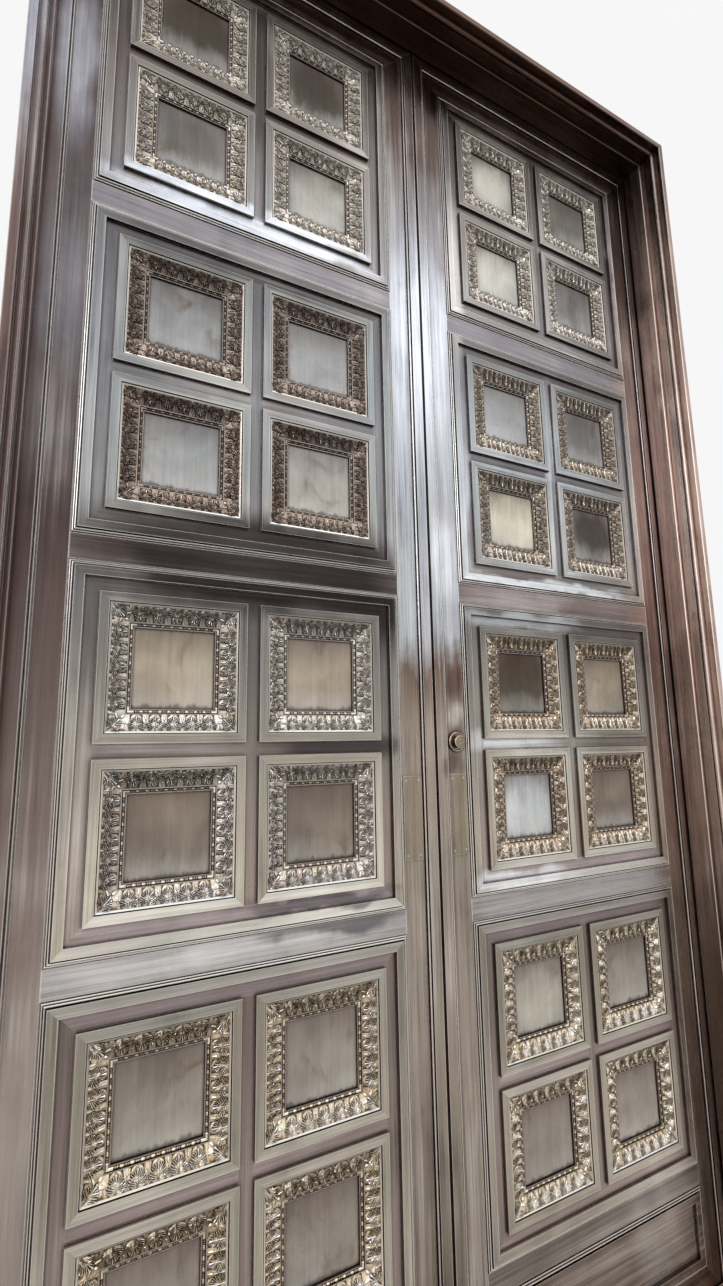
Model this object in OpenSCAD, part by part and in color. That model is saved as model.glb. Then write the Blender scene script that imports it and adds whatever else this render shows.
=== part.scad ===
// A pair of tall hinged bronze doors in their bronze frame. Each leaf carries four square fields
// of four framed coffers over a plain kick panel. The viewer stands at -Y, the leaves open to +Y.
// The origin lies in the middle of the threshold's underside, in line with the leaves' front faces.

/* [Coffers] */
// Outer side of one square coffer frame
coffer_w = 296; // [270:1:330]
// Width of the flat bar between two coffers
coffer_bar_w = 29; // [16:1:50]
// Width of the flat fillet round a coffer frame
fillet_w = 18; // [12:0.5:24]
// Width of the thin quirk inside the fillet
quirk_w = 2; // [1.5:0.5:4]
// Width of the sloping listel between the quirk and the leaf band
edge_listel_w = 3.5; // [2:0.5:5]
// Width of the curved band that carries the leaves
leaf_band_w = 32.5; // [26:0.5:40]
// Width of the flat listels on both sides of the beads
listel_w = 2; // [1:0.5:4]
// Width of the hollow that holds the row of beads
bead_w = 7; // [5:0.5:10]
// Depth of the flat centre panel behind the door's front faces
coffer_depth = 17; // [15:0.5:24]
// Clearance between a coffer frame and the pocket that it sits in
coffer_fit = 0.15; // [0.05:0.05:0.4]

/* [Fields] */
// Height of the raised bands over the flat ground
relief = 7.5; // [5:0.5:10]
// Width of the sunk band round the four coffers of a field
inner_band_w = 29; // [20:1:40]
// Width of the raised band round a field
outer_band_w = 19; // [12:1:30]
// Width of the double bead moulding on the edge of a field
field_mould_w = 12; // [10:0.5:18]
// Thickness of the cast plate behind a field's ground
plate_t = 20; // [12:0.5:28]
// Number of coffered fields in a leaf
field_count = 4;

/* [Leaves] */
// Width of the raised strip along the edge of a leaf, as seen
edge_strip_w = 27; // [20:1:40]
// Width of the bead moulding inside that strip
edge_mould_w = 9; // [8:0.5:14]
// Width of the flat face of the stiles and of the top and bottom rails
stile_flat_w = 54; // [45:1:90]
// Width of the flat rails between the fields
cross_rail_w = 52; // [30:1:90]
// Height of the kick panel
kick_h = 197; // [150:1:260]
// Thickness of a leaf
leaf_t = 60; // [50:1:70]
// Thickness of the sheets that close the back of a leaf
back_sheet_t = 8; // [3:0.5:12]
// How far these sheets lie behind the back faces of the stiles
back_sheet_inset = 4; // [1:0.5:8]

/* [Gaps] */
// Gap between the two leaves
meeting_gap = 8; // [8:0.5:12]
// Gap between the edge of a leaf and the frame's rebate
edge_gap = 5; // [5:0.5:8]
// How far the frame's stop laps over the edge of a leaf
stop_lap = 12; // [8:0.5:20]
// Gap between a leaf's front face and the stop
stop_gap = 5; // [5:0.5:8]
// Gap between a leaf and the threshold
floor_gap = 8; // [6:0.5:15]

/* [Frame] */
// Thickness of the frame from its inner face to its outer face
frame_w = 42; // [38:1:80]
// Depth of the frame in front of the leaves
reveal_d = 133; // [125:1:200]
// Depth of the first and deepest step of the frame's reveal
step_1_d = 68; // [50:1:80]
// Depth of the second step
step_2_d = 31; // [20:1:45]
// Depth of the round bead between the second and the last step
frame_bead_d = 13; // [8:1:16]
// Distance that the first step opens outwards
step_1_w = 11; // [6:0.5:14]
// Distance that the bead stands back from the second step
step_2_w = 5; // [2:0.5:8]
// Distance that the last step opens outwards
step_3_w = 9; // [4:0.5:14]
// Height of the threshold
threshold_h = 12; // [8:1:20]

/* [Hinges] */
// Number of hinges on a leaf
hinge_count = 4; // [3:1:5]
// Length of one hinge
hinge_l = 180; // [140:5:220]
// Outer radius of a hinge knuckle
knuckle_r = 12; // [10:0.5:12]
// Radius of the hinge pin
pin_r = 6; // [4:0.5:7]
// Radial clearance of the pin in the leaf's knuckle
pin_clear = 0.05; // [0.01:0.01:0.1]
// Gap between two knuckles along the pin
knuckle_gap = 0.3; // [0.2:0.1:0.6]
// Distance of the knuckles behind the back face of the leaf
knuckle_off = 2; // [1:0.5:3]
// Thickness of the hinge plates
hinge_plate_t = 7; // [5:0.5:10]
// Width of the plate on the leaf
leaf_plate_w = 55; // [40:1:80]
// Distance of the outer hinges from the ends of the leaf
hinge_margin = 240; // [180:5:400]

/* [Lock] */
// Height of the lock's centre above the floor
lock_z = 1530; // [900:5:1650]
// Radius of the lock's rosette
rosette_r = 25; // [20:0.5:26]
// Thickness of the rosette
rosette_t = 6; // [4:0.5:9]
// Radius of the lock cylinder
cylinder_r = 16; // [12:0.5:18]
// How far the lock cylinder stands out of the rosette
cylinder_out = 12; // [6:0.5:16]
// Radius of the key plug
plug_r = 6.5; // [5:0.5:8]
// Width of the keyway
keyway_w = 2; // [1:0.5:3]
// Height of the cover plates where the pulls were
cover_h = 195; // [120:5:260]
// Thickness of a cover plate
cover_t = 1.5; // [1:0.5:3]
// Height of the top of the cover plates above the floor
cover_top_z = 1452; // [1200:2:1480]
// Side of the bevel along the edges of a cover plate
cover_bevel = 0.8; // [0.3:0.1:0.9]

/* [Hidden] */

bronze = "#9a8a74";
pale_bronze = "#b7ab97";
gold_bronze = "#a98f62";
grey_bronze = "#8d8682";
dark_bronze = "#6b5546";

// A field is two coffers wide, with its bands and its moulding round them
coffer_pitch = coffer_w + coffer_bar_w;
rim_w = field_mould_w + outer_band_w;
field_border_w = inner_band_w + rim_w;
field_w = coffer_pitch + coffer_w + 2 * field_border_w;
border_w = edge_strip_w + edge_mould_w + stile_flat_w;
leaf_seen_w = field_w + 2 * border_w;
leaf_seen_h = field_count * (field_w + cross_rail_w) + kick_h + 2 * border_w;
leaf_w = leaf_seen_w + stop_lap;
leaf_h = leaf_seen_h + stop_lap;
leaf_z = threshold_h + floor_gap;

// The panel opening of a leaf, measured from its hinge edge and its bottom
inner_x0 = stop_lap + border_w;
inner_x1 = leaf_w - border_w;
inner_z0 = border_w;
inner_z1 = leaf_h - stop_lap - border_w;
mid_x = (inner_x0 + inner_x1) / 2;
kick_z = inner_z0 + kick_h / 2;
field_pitch = field_w + cross_rail_w;

// Back face of the cast plates behind the fields and the kick panel
plate_back = coffer_depth + plate_t;

// The frame's clear opening, its rebate and its outside
frame_in_x = meeting_gap / 2 + leaf_seen_w;
frame_out_x = frame_in_x + frame_w;
frame_in_z = leaf_z + leaf_seen_h;
frame_out_z = frame_in_z + frame_w;
rebate_w = stop_lap + edge_gap;

// The hinge axis in the leaf's own measures
axis_x = -edge_gap / 2;
axis_y = leaf_t + knuckle_off + knuckle_r;
end_knuckle_l = hinge_l / 3;
mid_knuckle_l = hinge_l - 2 * end_knuckle_l - 2 * knuckle_gap;
jamb_back_w = frame_w - rebate_w;
// Room round a knuckle in the opposite plate
knuckle_room = 1;
relief_r = knuckle_r + knuckle_room;
hinge_step = (leaf_h - 2 * hinge_margin) / (hinge_count - 1);

// The middle of a stile's flat face, from the meeting edge
stile_mid = edge_strip_w + edge_mould_w + stile_flat_w / 2;

arc_steps = 6;
// Share of the relief that a bead stands over its seat, and depth of the grooves beside it
bead_rise = 0.3;
groove_w = 2;
groove_d = 1.5;
// Rounding of the lock cylinder's edge, the groove round its plug and the depth of the keyway
cylinder_round = 2;
plug_groove = 1.5;
keyway_d = 6;
// Radius of the rounded nose at the front of the frame, and slope of the threshold's nose
nose_r = 3;
threshold_slope_d = 35;
through = 1;

// Points on an arc, from one angle to another
function arc_points(cx, cy, r, from, to, steps = arc_steps) =
    [for (i = [0:steps]) let (a = from + (to - from) * i / steps) [cx + r * cos(a), cy + r * sin(a)]];

// Edge of a leaf, as inset from the edge and depth: strip, groove, bead, groove and flat face
function edge_profile(lap) =
    let (
        strip = lap + edge_strip_w,
        bead_c = strip + edge_mould_w / 2,
        bead_r = edge_mould_w / 2 - groove_w,
        seat = relief - groove_d,
        total = lap + border_w
    )
    concat(
        [[0, 0], [strip, 0], [strip, seat], [strip + groove_w, seat]],
        arc_points(bead_c, seat - bead_rise * relief, bead_r, 180, 360),
        [[strip + edge_mould_w - groove_w, seat], [strip + edge_mould_w - groove_w, relief + groove_d],
         [strip + edge_mould_w, relief + groove_d], [strip + edge_mould_w, relief],
         [total, relief], [total, leaf_t], [0, leaf_t]]
    );

// Rim of a field: a groove, two beads that rise inwards, a groove and the raised band
function field_rim_profile() =
    let (
        bead_r = (field_mould_w - 2 * groove_w) / 4,
        low = relief,
        high = relief / 2
    )
    concat(
        [[0, coffer_depth], [0, relief + groove_d], [groove_w, relief + groove_d]],
        arc_points(groove_w + bead_r, low - bead_r / 2, bead_r, 180, 360),
        arc_points(groove_w + 3 * bead_r, high, bead_r, 180, 360),
        [[field_mould_w - groove_w, relief], [field_mould_w, relief], [field_mould_w, 0],
         [rim_w, 0], [rim_w, coffer_depth]]
    );

// Coffer frame: fillet, quirk, listel, a cyma that falls inwards under the leaves, bead hollow
coffer_frame_w = fillet_w + quirk_w + edge_listel_w + leaf_band_w + 2 * listel_w + bead_w;
band_top = 0.3 * coffer_depth;
band_low = 0.68 * coffer_depth;
bead_seat = 0.84 * coffer_depth;
listel_rise = 1;
// How far the sloping listel stands over the quirk's floor at its outer edge
edge_rise = 3;
function cyma(x0, y0, x1, y1, steps) =
    [for (i = [0:steps]) let (t = i / steps)
        [x0 + (x1 - x0) * t, y0 + (y1 - y0) * (t - sin(360 * t) / 10)]];
function coffer_profile() =
    let (
        edge = fillet_w + quirk_w,
        band = edge + edge_listel_w,
        listel = band + leaf_band_w,
        bead = listel + listel_w
    )
    concat(
        [[0, coffer_depth], [0, 0], [fillet_w, 0], [fillet_w, band_top], [edge, band_top],
         [edge, band_top - edge_rise], [band, band_top - edge_rise + listel_rise]],
        cyma(band, band_top - listel_rise, listel, band_low, 8),
        [[listel, band_low - listel_rise], [bead, band_low - listel_rise], [bead, bead_seat],
         [bead + bead_w, bead_seat], [bead + bead_w, bead_seat - listel_rise],
         [coffer_frame_w, bead_seat - listel_rise],
         [coffer_frame_w, coffer_depth]]
    );

// Reveal of the frame, as distance outwards from its inner face and depth
bead_c_y = -(step_1_d + step_2_d + frame_bead_d / 2);
function frame_profile() =
    let (w1 = step_1_w, w2 = w1 + step_2_w, w3 = w2 + step_3_w)
    concat(
        [[0, -stop_gap]],
        arc_points(nose_r, -step_1_d + nose_r, nose_r, 180, 270),
        [[w1, -step_1_d], [w1, -step_1_d - step_2_d], [w2, -step_1_d - step_2_d]],
        arc_points(w2, bead_c_y, frame_bead_d / 2 - 0.5, 90, 270),
        [[w2, -step_1_d - step_2_d - frame_bead_d], [w3, -step_1_d - step_2_d - frame_bead_d]],
        arc_points(w3 + nose_r, -reveal_d + nose_r, nose_r, 180, 270),
        [[frame_w, -reveal_d], [frame_w, leaf_t], [rebate_w, leaf_t], [rebate_w, -stop_gap]]
    );

// A flat outline in X and Z, made solid from depth y0 to depth y1
module slab(y0, y1) {
    translate([0, y1, 0]) rotate([90, 0, 0]) linear_extrude(y1 - y0) children();
}

// A profile of depth and height, run along X from the middle
module run_x(length) {
    rotate([90, 0, 90]) translate([0, 0, -length / 2]) linear_extrude(length) children();
}

// One side of a ring, with its two mitres
module ring_side(length, profile, width) {
    intersection() {
        run_x(length) polygon([for (p = profile) [p[1], p[0]]]);
        slab(-through, leaf_t)
            polygon([[-length / 2, 0], [length / 2, 0], [length / 2 - width, width],
                     [-length / 2 + width, width]]);
    }
}

// A profile of inset and depth carried round an oblong, with mitred corners
module ring(w, h, profile, width) {
    for (turn = [0, 180]) rotate([0, turn, 0]) translate([0, 0, -h / 2]) ring_side(w, profile, width);
    for (turn = [90, 270]) rotate([0, turn, 0]) translate([0, 0, -w / 2]) ring_side(h, profile, width);
}

// Places a piece drawn in a leaf's own measures on the left or the right leaf
module left_leaf() {
    translate([-meeting_gap / 2 - leaf_w, 0, leaf_z]) children();
}
module right_leaf() {
    mirror([1, 0, 0]) left_leaf() children();
}

module hinge_stile() {
    color(bronze) intersection() {
        linear_extrude(leaf_h) polygon(edge_profile(stop_lap));
        slab(-through, leaf_t + through)
            polygon([[inner_x0, inner_z0], [inner_x0, inner_z1], [0, inner_z1 + inner_x0],
                     [0, inner_z0 - inner_x0]]);
    }
}

module meeting_stile() {
    color(bronze) intersection() {
        translate([leaf_w, 0, 0]) mirror([1, 0, 0]) linear_extrude(leaf_h) polygon(edge_profile(0));
        slab(-through, leaf_t + through)
            polygon([[inner_x1, inner_z0], [inner_x1, inner_z1], [leaf_w, inner_z1 + border_w],
                     [leaf_w, 0]]);
    }
}

module top_rail() {
    color(bronze) intersection() {
        translate([leaf_w / 2, 0, leaf_h])
            run_x(leaf_w) polygon([for (p = edge_profile(stop_lap)) [p[1], -p[0]]]);
        slab(-through, leaf_t + through)
            polygon([[inner_x0, inner_z1], [inner_x1, inner_z1], [leaf_w, inner_z1 + border_w],
                     [leaf_w, leaf_h], [0, leaf_h]]);
    }
}

module bottom_rail() {
    color(bronze) intersection() {
        translate([leaf_w / 2, 0, 0]) run_x(leaf_w) polygon([for (p = edge_profile(0)) [p[1], p[0]]]);
        slab(-through, leaf_t + through)
            polygon([[inner_x0, inner_z0], [inner_x1, inner_z0], [leaf_w, 0],
                     [inner_x0 - inner_z0, 0]]);
    }
}

// The rails under each field; the lowest one parts the last field from the kick panel
module cross_rails() {
    color(pale_bronze)
        for (i = [0:field_count - 1])
            translate([inner_x0, relief, inner_z0 + kick_h + i * field_pitch])
                cube([field_w, leaf_t - relief, cross_rail_w]);
}

module at_field(i) {
    translate([mid_x, 0, inner_z1 - field_w / 2 - (i - 1) * field_pitch]) children();
}

module at_coffers() {
    for (x = [-1, 1], z = [-1, 1])
        translate([x * coffer_pitch / 2, 0, z * coffer_pitch / 2]) children();
}

// The cast plate of a field, with its rim and a pocket for each coffer frame
module field() {
    ground_w = field_w - 2 * rim_w;
    pocket_w = coffer_w + 2 * coffer_fit;
    color(pale_bronze) {
        ring(field_w, field_w, field_rim_profile(), rim_w);
        slab(coffer_depth, plate_back) square(field_w, center = true);
        slab(relief, coffer_depth) difference() {
            square(ground_w, center = true);
            for (x = [-1, 1], z = [-1, 1])
                translate([x, z] * coffer_pitch / 2) square(pocket_w, center = true);
        }
    }
}

// The four carved frames of a field, seated on the floors of their pockets
module coffers() {
    color(gold_bronze) at_coffers() ring(coffer_w, coffer_w, coffer_profile(), coffer_frame_w);
}

module kick_panel() {
    color(bronze) translate([mid_x, 0, kick_z]) {
        ring(field_w, kick_h, field_rim_profile(), rim_w);
        slab(coffer_depth, plate_back) square([field_w, kick_h], center = true);
        slab(relief, coffer_depth) square([field_w - 2 * rim_w, kick_h - 2 * rim_w], center = true);
    }
}

// Plain sheets that close the back of the leaf behind each field and the kick panel
module back_sheets() {
    y1 = leaf_t - back_sheet_inset;
    color(grey_bronze) {
        for (i = [1:field_count]) at_field(i) slab(y1 - back_sheet_t, y1) square(field_w, center = true);
        translate([mid_x, 0, kick_z]) slab(y1 - back_sheet_t, y1) square([field_w, kick_h], center = true);
    }
}

module at_hinges() {
    for (i = [0:hinge_count - 1]) translate([axis_x, axis_y, hinge_margin + i * hinge_step]) children();
}

// The leaf's half of each hinge: a plate on the back of the stile and the bored middle knuckle
module leaf_hinges() {
    color(dark_bronze) at_hinges() difference() {
        union() {
            difference() {
                translate([-axis_x, -axis_y + leaf_t, -hinge_l / 2])
                    cube([leaf_plate_w, hinge_plate_t, hinge_l]);
                for (z = [-1, 1]) translate([0, 0, z * (hinge_l - end_knuckle_l) / 2])
                    cylinder(r = relief_r, h = end_knuckle_l + 2 * knuckle_gap, center = true, $fn = 64);
            }
            cylinder(r = knuckle_r, h = mid_knuckle_l, center = true, $fn = 64);
            translate([0, -axis_y + leaf_t, -mid_knuckle_l / 2])
                cube([leaf_plate_w / 2, hinge_plate_t, mid_knuckle_l]);
        }
        cylinder(r = pin_r + pin_clear, h = hinge_l, center = true, $fn = 64);
    }
}

// The frame's half: a plate on the back of the jamb, the two end knuckles and the pin
module frame_hinges() {
    color(dark_bronze) at_hinges() {
        difference() {
            translate([axis_x - jamb_back_w, -axis_y + leaf_t, -hinge_l / 2])
                cube([jamb_back_w, hinge_plate_t, hinge_l]);
            cylinder(r = relief_r, h = mid_knuckle_l + 2 * knuckle_gap, center = true, $fn = 64);
        }
        for (z = [-1, 1]) translate([0, 0, z * (hinge_l - end_knuckle_l) / 2]) {
            cylinder(r = knuckle_r, h = end_knuckle_l, center = true, $fn = 64);
            translate([axis_x - jamb_back_w / 2, -axis_y + leaf_t, -end_knuckle_l / 2])
                cube([jamb_back_w / 2 - axis_x, hinge_plate_t, end_knuckle_l]);
            translate([0, 0, z * end_knuckle_l / 2]) sphere(r = knuckle_r, $fn = 48);
        }
        cylinder(r = pin_r, h = hinge_l, center = true, $fn = 64);
    }
}

module cover_plate() {
    w = stile_flat_w - 2 * cover_bevel;
    color(bronze) translate([leaf_w - stile_mid, relief, cover_top_z - leaf_z - cover_h / 2])
        intersection() {
            slab(-cover_t, 0) square([w, cover_h], center = true);
            hull() {
                slab(-cover_t, 0) square([w - 2 * cover_bevel, cover_h - 2 * cover_bevel], center = true);
                slab(-cover_t + cover_bevel, 0) square([w, cover_h], center = true);
            }
        }
}

// The lock: a rosette with a rolled rim, the cylinder standing out of it and the key plug
module lock() {
    rim = rosette_t / 2;
    nose = rosette_t + cylinder_out;
    color(dark_bronze) translate([leaf_w - stile_mid, relief, lock_z - leaf_z]) rotate([90, 0, 0])
        difference() {
            rotate_extrude($fn = 96) polygon(concat(
                [[0, 0], [rosette_r, 0]],
                arc_points(rosette_r - rim, rosette_t - rim, rim, 0, 180, 10),
                [[rosette_r - 2 * rim, rosette_t - rim], [cylinder_r, rosette_t - rim]],
                arc_points(cylinder_r - cylinder_round, nose - cylinder_round, cylinder_round, 0, 90, 4),
                [[plug_r + plug_groove, nose], [plug_r + plug_groove, nose - plug_groove],
                 [plug_r, nose - plug_groove], [plug_r, nose], [0, nose]]
            ));
            translate([-keyway_w / 2, -plug_r * 0.7, nose - keyway_d])
                cube([keyway_w, plug_r * 1.4, keyway_d + through]);
        }
}

// Frame members share one reveal profile and meet in mitres at the top
module jamb() {
    color(bronze) intersection() {
        translate([frame_in_x, 0, threshold_h]) linear_extrude(frame_out_z - threshold_h)
            polygon(frame_profile());
        slab(-reveal_d - through, leaf_t + through)
            polygon([[frame_in_x - through, 0], [frame_out_x + through, 0],
                     [frame_out_x + through, frame_out_z + through],
                     [frame_in_x - through, frame_in_z - through]]);
    }
}
module right_jamb() { jamb(); }
module left_jamb() { mirror([1, 0, 0]) jamb(); }

module head() {
    color(dark_bronze) intersection() {
        translate([0, 0, frame_in_z])
            run_x(2 * frame_out_x) polygon([for (p = frame_profile()) [p[1], p[0]]]);
        slab(-reveal_d - through, leaf_t + through)
            polygon([[-frame_in_x + through, frame_in_z - through],
                     [frame_in_x - through, frame_in_z - through],
                     [frame_out_x + through, frame_out_z + through],
                     [-frame_out_x - through, frame_out_z + through]]);
    }
}

module threshold() {
    color(bronze) run_x(2 * frame_out_x)
        polygon([[-reveal_d, 0], [leaf_t, 0], [leaf_t, threshold_h],
                 [-reveal_d + threshold_slope_d, threshold_h], [-reveal_d, threshold_h / 2]]);
}

left_jamb();
right_jamb();
head();
threshold();
left_leaf() frame_hinges();  // left_frame_hinges
right_leaf() frame_hinges();  // right_frame_hinges
left_leaf() hinge_stile();  // left_hinge_stile
left_leaf() meeting_stile();  // left_meeting_stile
left_leaf() top_rail();  // left_top_rail
left_leaf() bottom_rail();  // left_bottom_rail
left_leaf() cross_rails();  // left_cross_rails
left_leaf() at_field(1) field();  // left_field_1
left_leaf() at_field(2) field();  // left_field_2
left_leaf() at_field(3) field();  // left_field_3
left_leaf() at_field(4) field();  // left_field_4
left_leaf() at_field(1) coffers();  // left_coffers_1
left_leaf() at_field(2) coffers();  // left_coffers_2
left_leaf() at_field(3) coffers();  // left_coffers_3
left_leaf() at_field(4) coffers();  // left_coffers_4
left_leaf() kick_panel();  // left_kick_panel
left_leaf() back_sheets();  // left_back_sheets
left_leaf() leaf_hinges();  // left_leaf_hinges
left_leaf() cover_plate();  // left_cover_plate
right_leaf() hinge_stile();  // right_hinge_stile
right_leaf() meeting_stile();  // right_meeting_stile
right_leaf() top_rail();  // right_top_rail
right_leaf() bottom_rail();  // right_bottom_rail
right_leaf() cross_rails();  // right_cross_rails
right_leaf() at_field(1) field();  // right_field_1
right_leaf() at_field(2) field();  // right_field_2
right_leaf() at_field(3) field();  // right_field_3
right_leaf() at_field(4) field();  // right_field_4
right_leaf() at_field(1) coffers();  // right_coffers_1
right_leaf() at_field(2) coffers();  // right_coffers_2
right_leaf() at_field(3) coffers();  // right_coffers_3
right_leaf() at_field(4) coffers();  // right_coffers_4
right_leaf() kick_panel();  // right_kick_panel
right_leaf() back_sheets();  // right_back_sheets
right_leaf() leaf_hinges();  // right_leaf_hinges
right_leaf() cover_plate();  // right_cover_plate
right_leaf() lock();
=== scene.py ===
"""Looks of a tall pair of hinged bronze doors.

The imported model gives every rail, band and moulding. This script adds the carved leaves and bead
rows of the coffers, the plugs of the cover plates and the screws of the back, gives each piece its
finish, and sets up the studio and the camera.
"""

import logging
import math
from dataclasses import dataclass, field
from enum import Enum
from typing import Callable, Iterator, Mapping, Optional, Sequence, Union

import bmesh
import bpy
import numpy as np
from mathutils import Matrix, Vector


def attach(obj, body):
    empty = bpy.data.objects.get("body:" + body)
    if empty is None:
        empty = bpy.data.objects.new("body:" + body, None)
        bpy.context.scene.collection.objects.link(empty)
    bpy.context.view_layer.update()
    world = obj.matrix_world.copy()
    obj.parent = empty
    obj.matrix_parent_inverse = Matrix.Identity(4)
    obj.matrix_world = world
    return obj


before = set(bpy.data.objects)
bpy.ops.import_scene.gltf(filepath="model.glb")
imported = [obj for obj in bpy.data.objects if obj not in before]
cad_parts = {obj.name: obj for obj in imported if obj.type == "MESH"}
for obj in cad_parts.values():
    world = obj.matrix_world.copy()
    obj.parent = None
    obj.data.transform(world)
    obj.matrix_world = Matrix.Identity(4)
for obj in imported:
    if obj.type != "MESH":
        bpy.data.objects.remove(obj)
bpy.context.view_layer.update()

log = logging.getLogger("bronze_doors")

MM = 0.001
Rgb = tuple[float, float, float]
Point = tuple[float, float]
Solid = tuple[np.ndarray, list[tuple[int, ...]]]
Solids = list[Solid]


def tone(red: int, green: int, blue: int) -> Rgb:
    """Turns a colour as seen on a screen, 0 to 255, into linear light.

    Args:
        red: red, 0 to 255.
        green: green, 0 to 255.
        blue: blue, 0 to 255.

    Returns:
        Red, green and blue from 0 to 1.
    """
    def linear(level: int) -> float:
        """Linear light of one channel."""
        share = level / 255
        return share / 12.92 if share <= 0.04045 else ((share + 0.055) / 1.055) ** 2.4
    return linear(red), linear(green), linear(blue)


class Side(Enum):
    """The two leaves, by the sign of their X."""

    LEFT = -1
    RIGHT = 1

    @property
    def body(self) -> str:
        """Name of the body that this leaf's pieces ride on."""
        return f"{self.name.lower()}_leaf"

    def named(self, piece: str) -> str:
        """Name of a piece on this side."""
        return f"{self.name.lower()}_{piece}"


class Grain(Enum):
    """Direction in which a surface was brushed."""

    UPRIGHT = "upright"
    LEVEL = "level"
    AROUND = "around"


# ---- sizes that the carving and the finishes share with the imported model, in metres

@dataclass(frozen=True)
class DoorGrid:
    """Places of the fields and their coffers on both leaves."""

    field_x: float = 0.4645
    field_zs: tuple[float, ...] = (3.1085, 2.3155, 1.5225, 0.7295)
    field_half: float = 0.3705
    field_pitch: float = 0.793
    coffer_step: float = 0.1625
    bar_half: float = 0.0145
    cross_reach: float = 0.31
    frame_half: float = 0.149
    panel_y: float = 0.017
    ground_y: float = 0.0075
    front_depth: float = 0.05
    play: float = 0.001

    def coffer_centres(self, side: Side, row: int) -> Iterator[Point]:
        """Centres of the four coffers of one field.

        Args:
            side: the leaf.
            row: 1 for the top field to 4 for the lowest.

        Returns:
            X and Z of each centre.
        """
        for step_x in (-1, 1):
            for step_z in (1, -1):
                yield (side.value * self.field_x + step_x * self.coffer_step,
                       self.field_zs[row - 1] + step_z * self.coffer_step)


GRID = DoorGrid()


# ---- shader expressions

def adds(operation: str, swapped: bool = False) -> Callable[..., "Sock"]:
    """Makes a method of a value that adds one Math node behind it.

    Args:
        operation: Blender's name for the operation.
        swapped: whether the value comes after the other one.

    Returns:
        The method.
    """
    def method(value: "Sock", *others: "Value") -> "Sock":
        """Adds the Math node.

        Args:
            value: the value that the method belongs to.
            others: the other values.

        Returns:
            The new value.
        """
        inputs = (*others, value) if swapped else (value, *others)
        return value.graph.node("ShaderNodeMath", {"operation": operation},
                                dict(enumerate(inputs)))[0]
    return method


class Sock:
    """A value in a material. Arithmetic on it adds Math nodes, and a comparison gives 1 or 0."""

    def __init__(self, graph: "Graph", socket: bpy.types.NodeSocket) -> None:
        """Wraps one output socket of a graph."""
        self.graph = graph
        self.socket = socket

    __add__ = __radd__ = adds("ADD")
    __sub__, __rsub__ = adds("SUBTRACT"), adds("SUBTRACT", swapped=True)
    __mul__ = __rmul__ = adds("MULTIPLY")
    __truediv__ = adds("DIVIDE")
    __abs__ = adds("ABSOLUTE")
    __gt__, __lt__ = adds("GREATER_THAN"), adds("LESS_THAN")
    larger, smaller = adds("MAXIMUM"), adds("MINIMUM")
    fraction, sign = adds("FRACT"), adds("SIGN")

    def ease(self, low: float, high: float) -> "Sock":
        """Smooth step from 0 at low to 1 at high.

        Args:
            low: value that gives 0.
            high: value that gives 1.

        Returns:
            The share.
        """
        settings = {"interpolation_type": "SMOOTHSTEP"}
        inputs = {"Value": self, "From Min": low, "From Max": high}
        return self.graph.node("ShaderNodeMapRange", settings, inputs)["Result"]


Value = Union[float, Sock]
Link = Union[float, Sequence[float], Sock]


class Ports:
    """The outputs of a node, by name or number."""

    def __init__(self, graph: "Graph", made: bpy.types.Node) -> None:
        """Keeps the node whose outputs are asked for."""
        self.graph = graph
        self.made = made

    def __getitem__(self, key: Union[str, int]) -> Sock:
        """One output as a value."""
        return Sock(self.graph, self.made.outputs[key])


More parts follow.
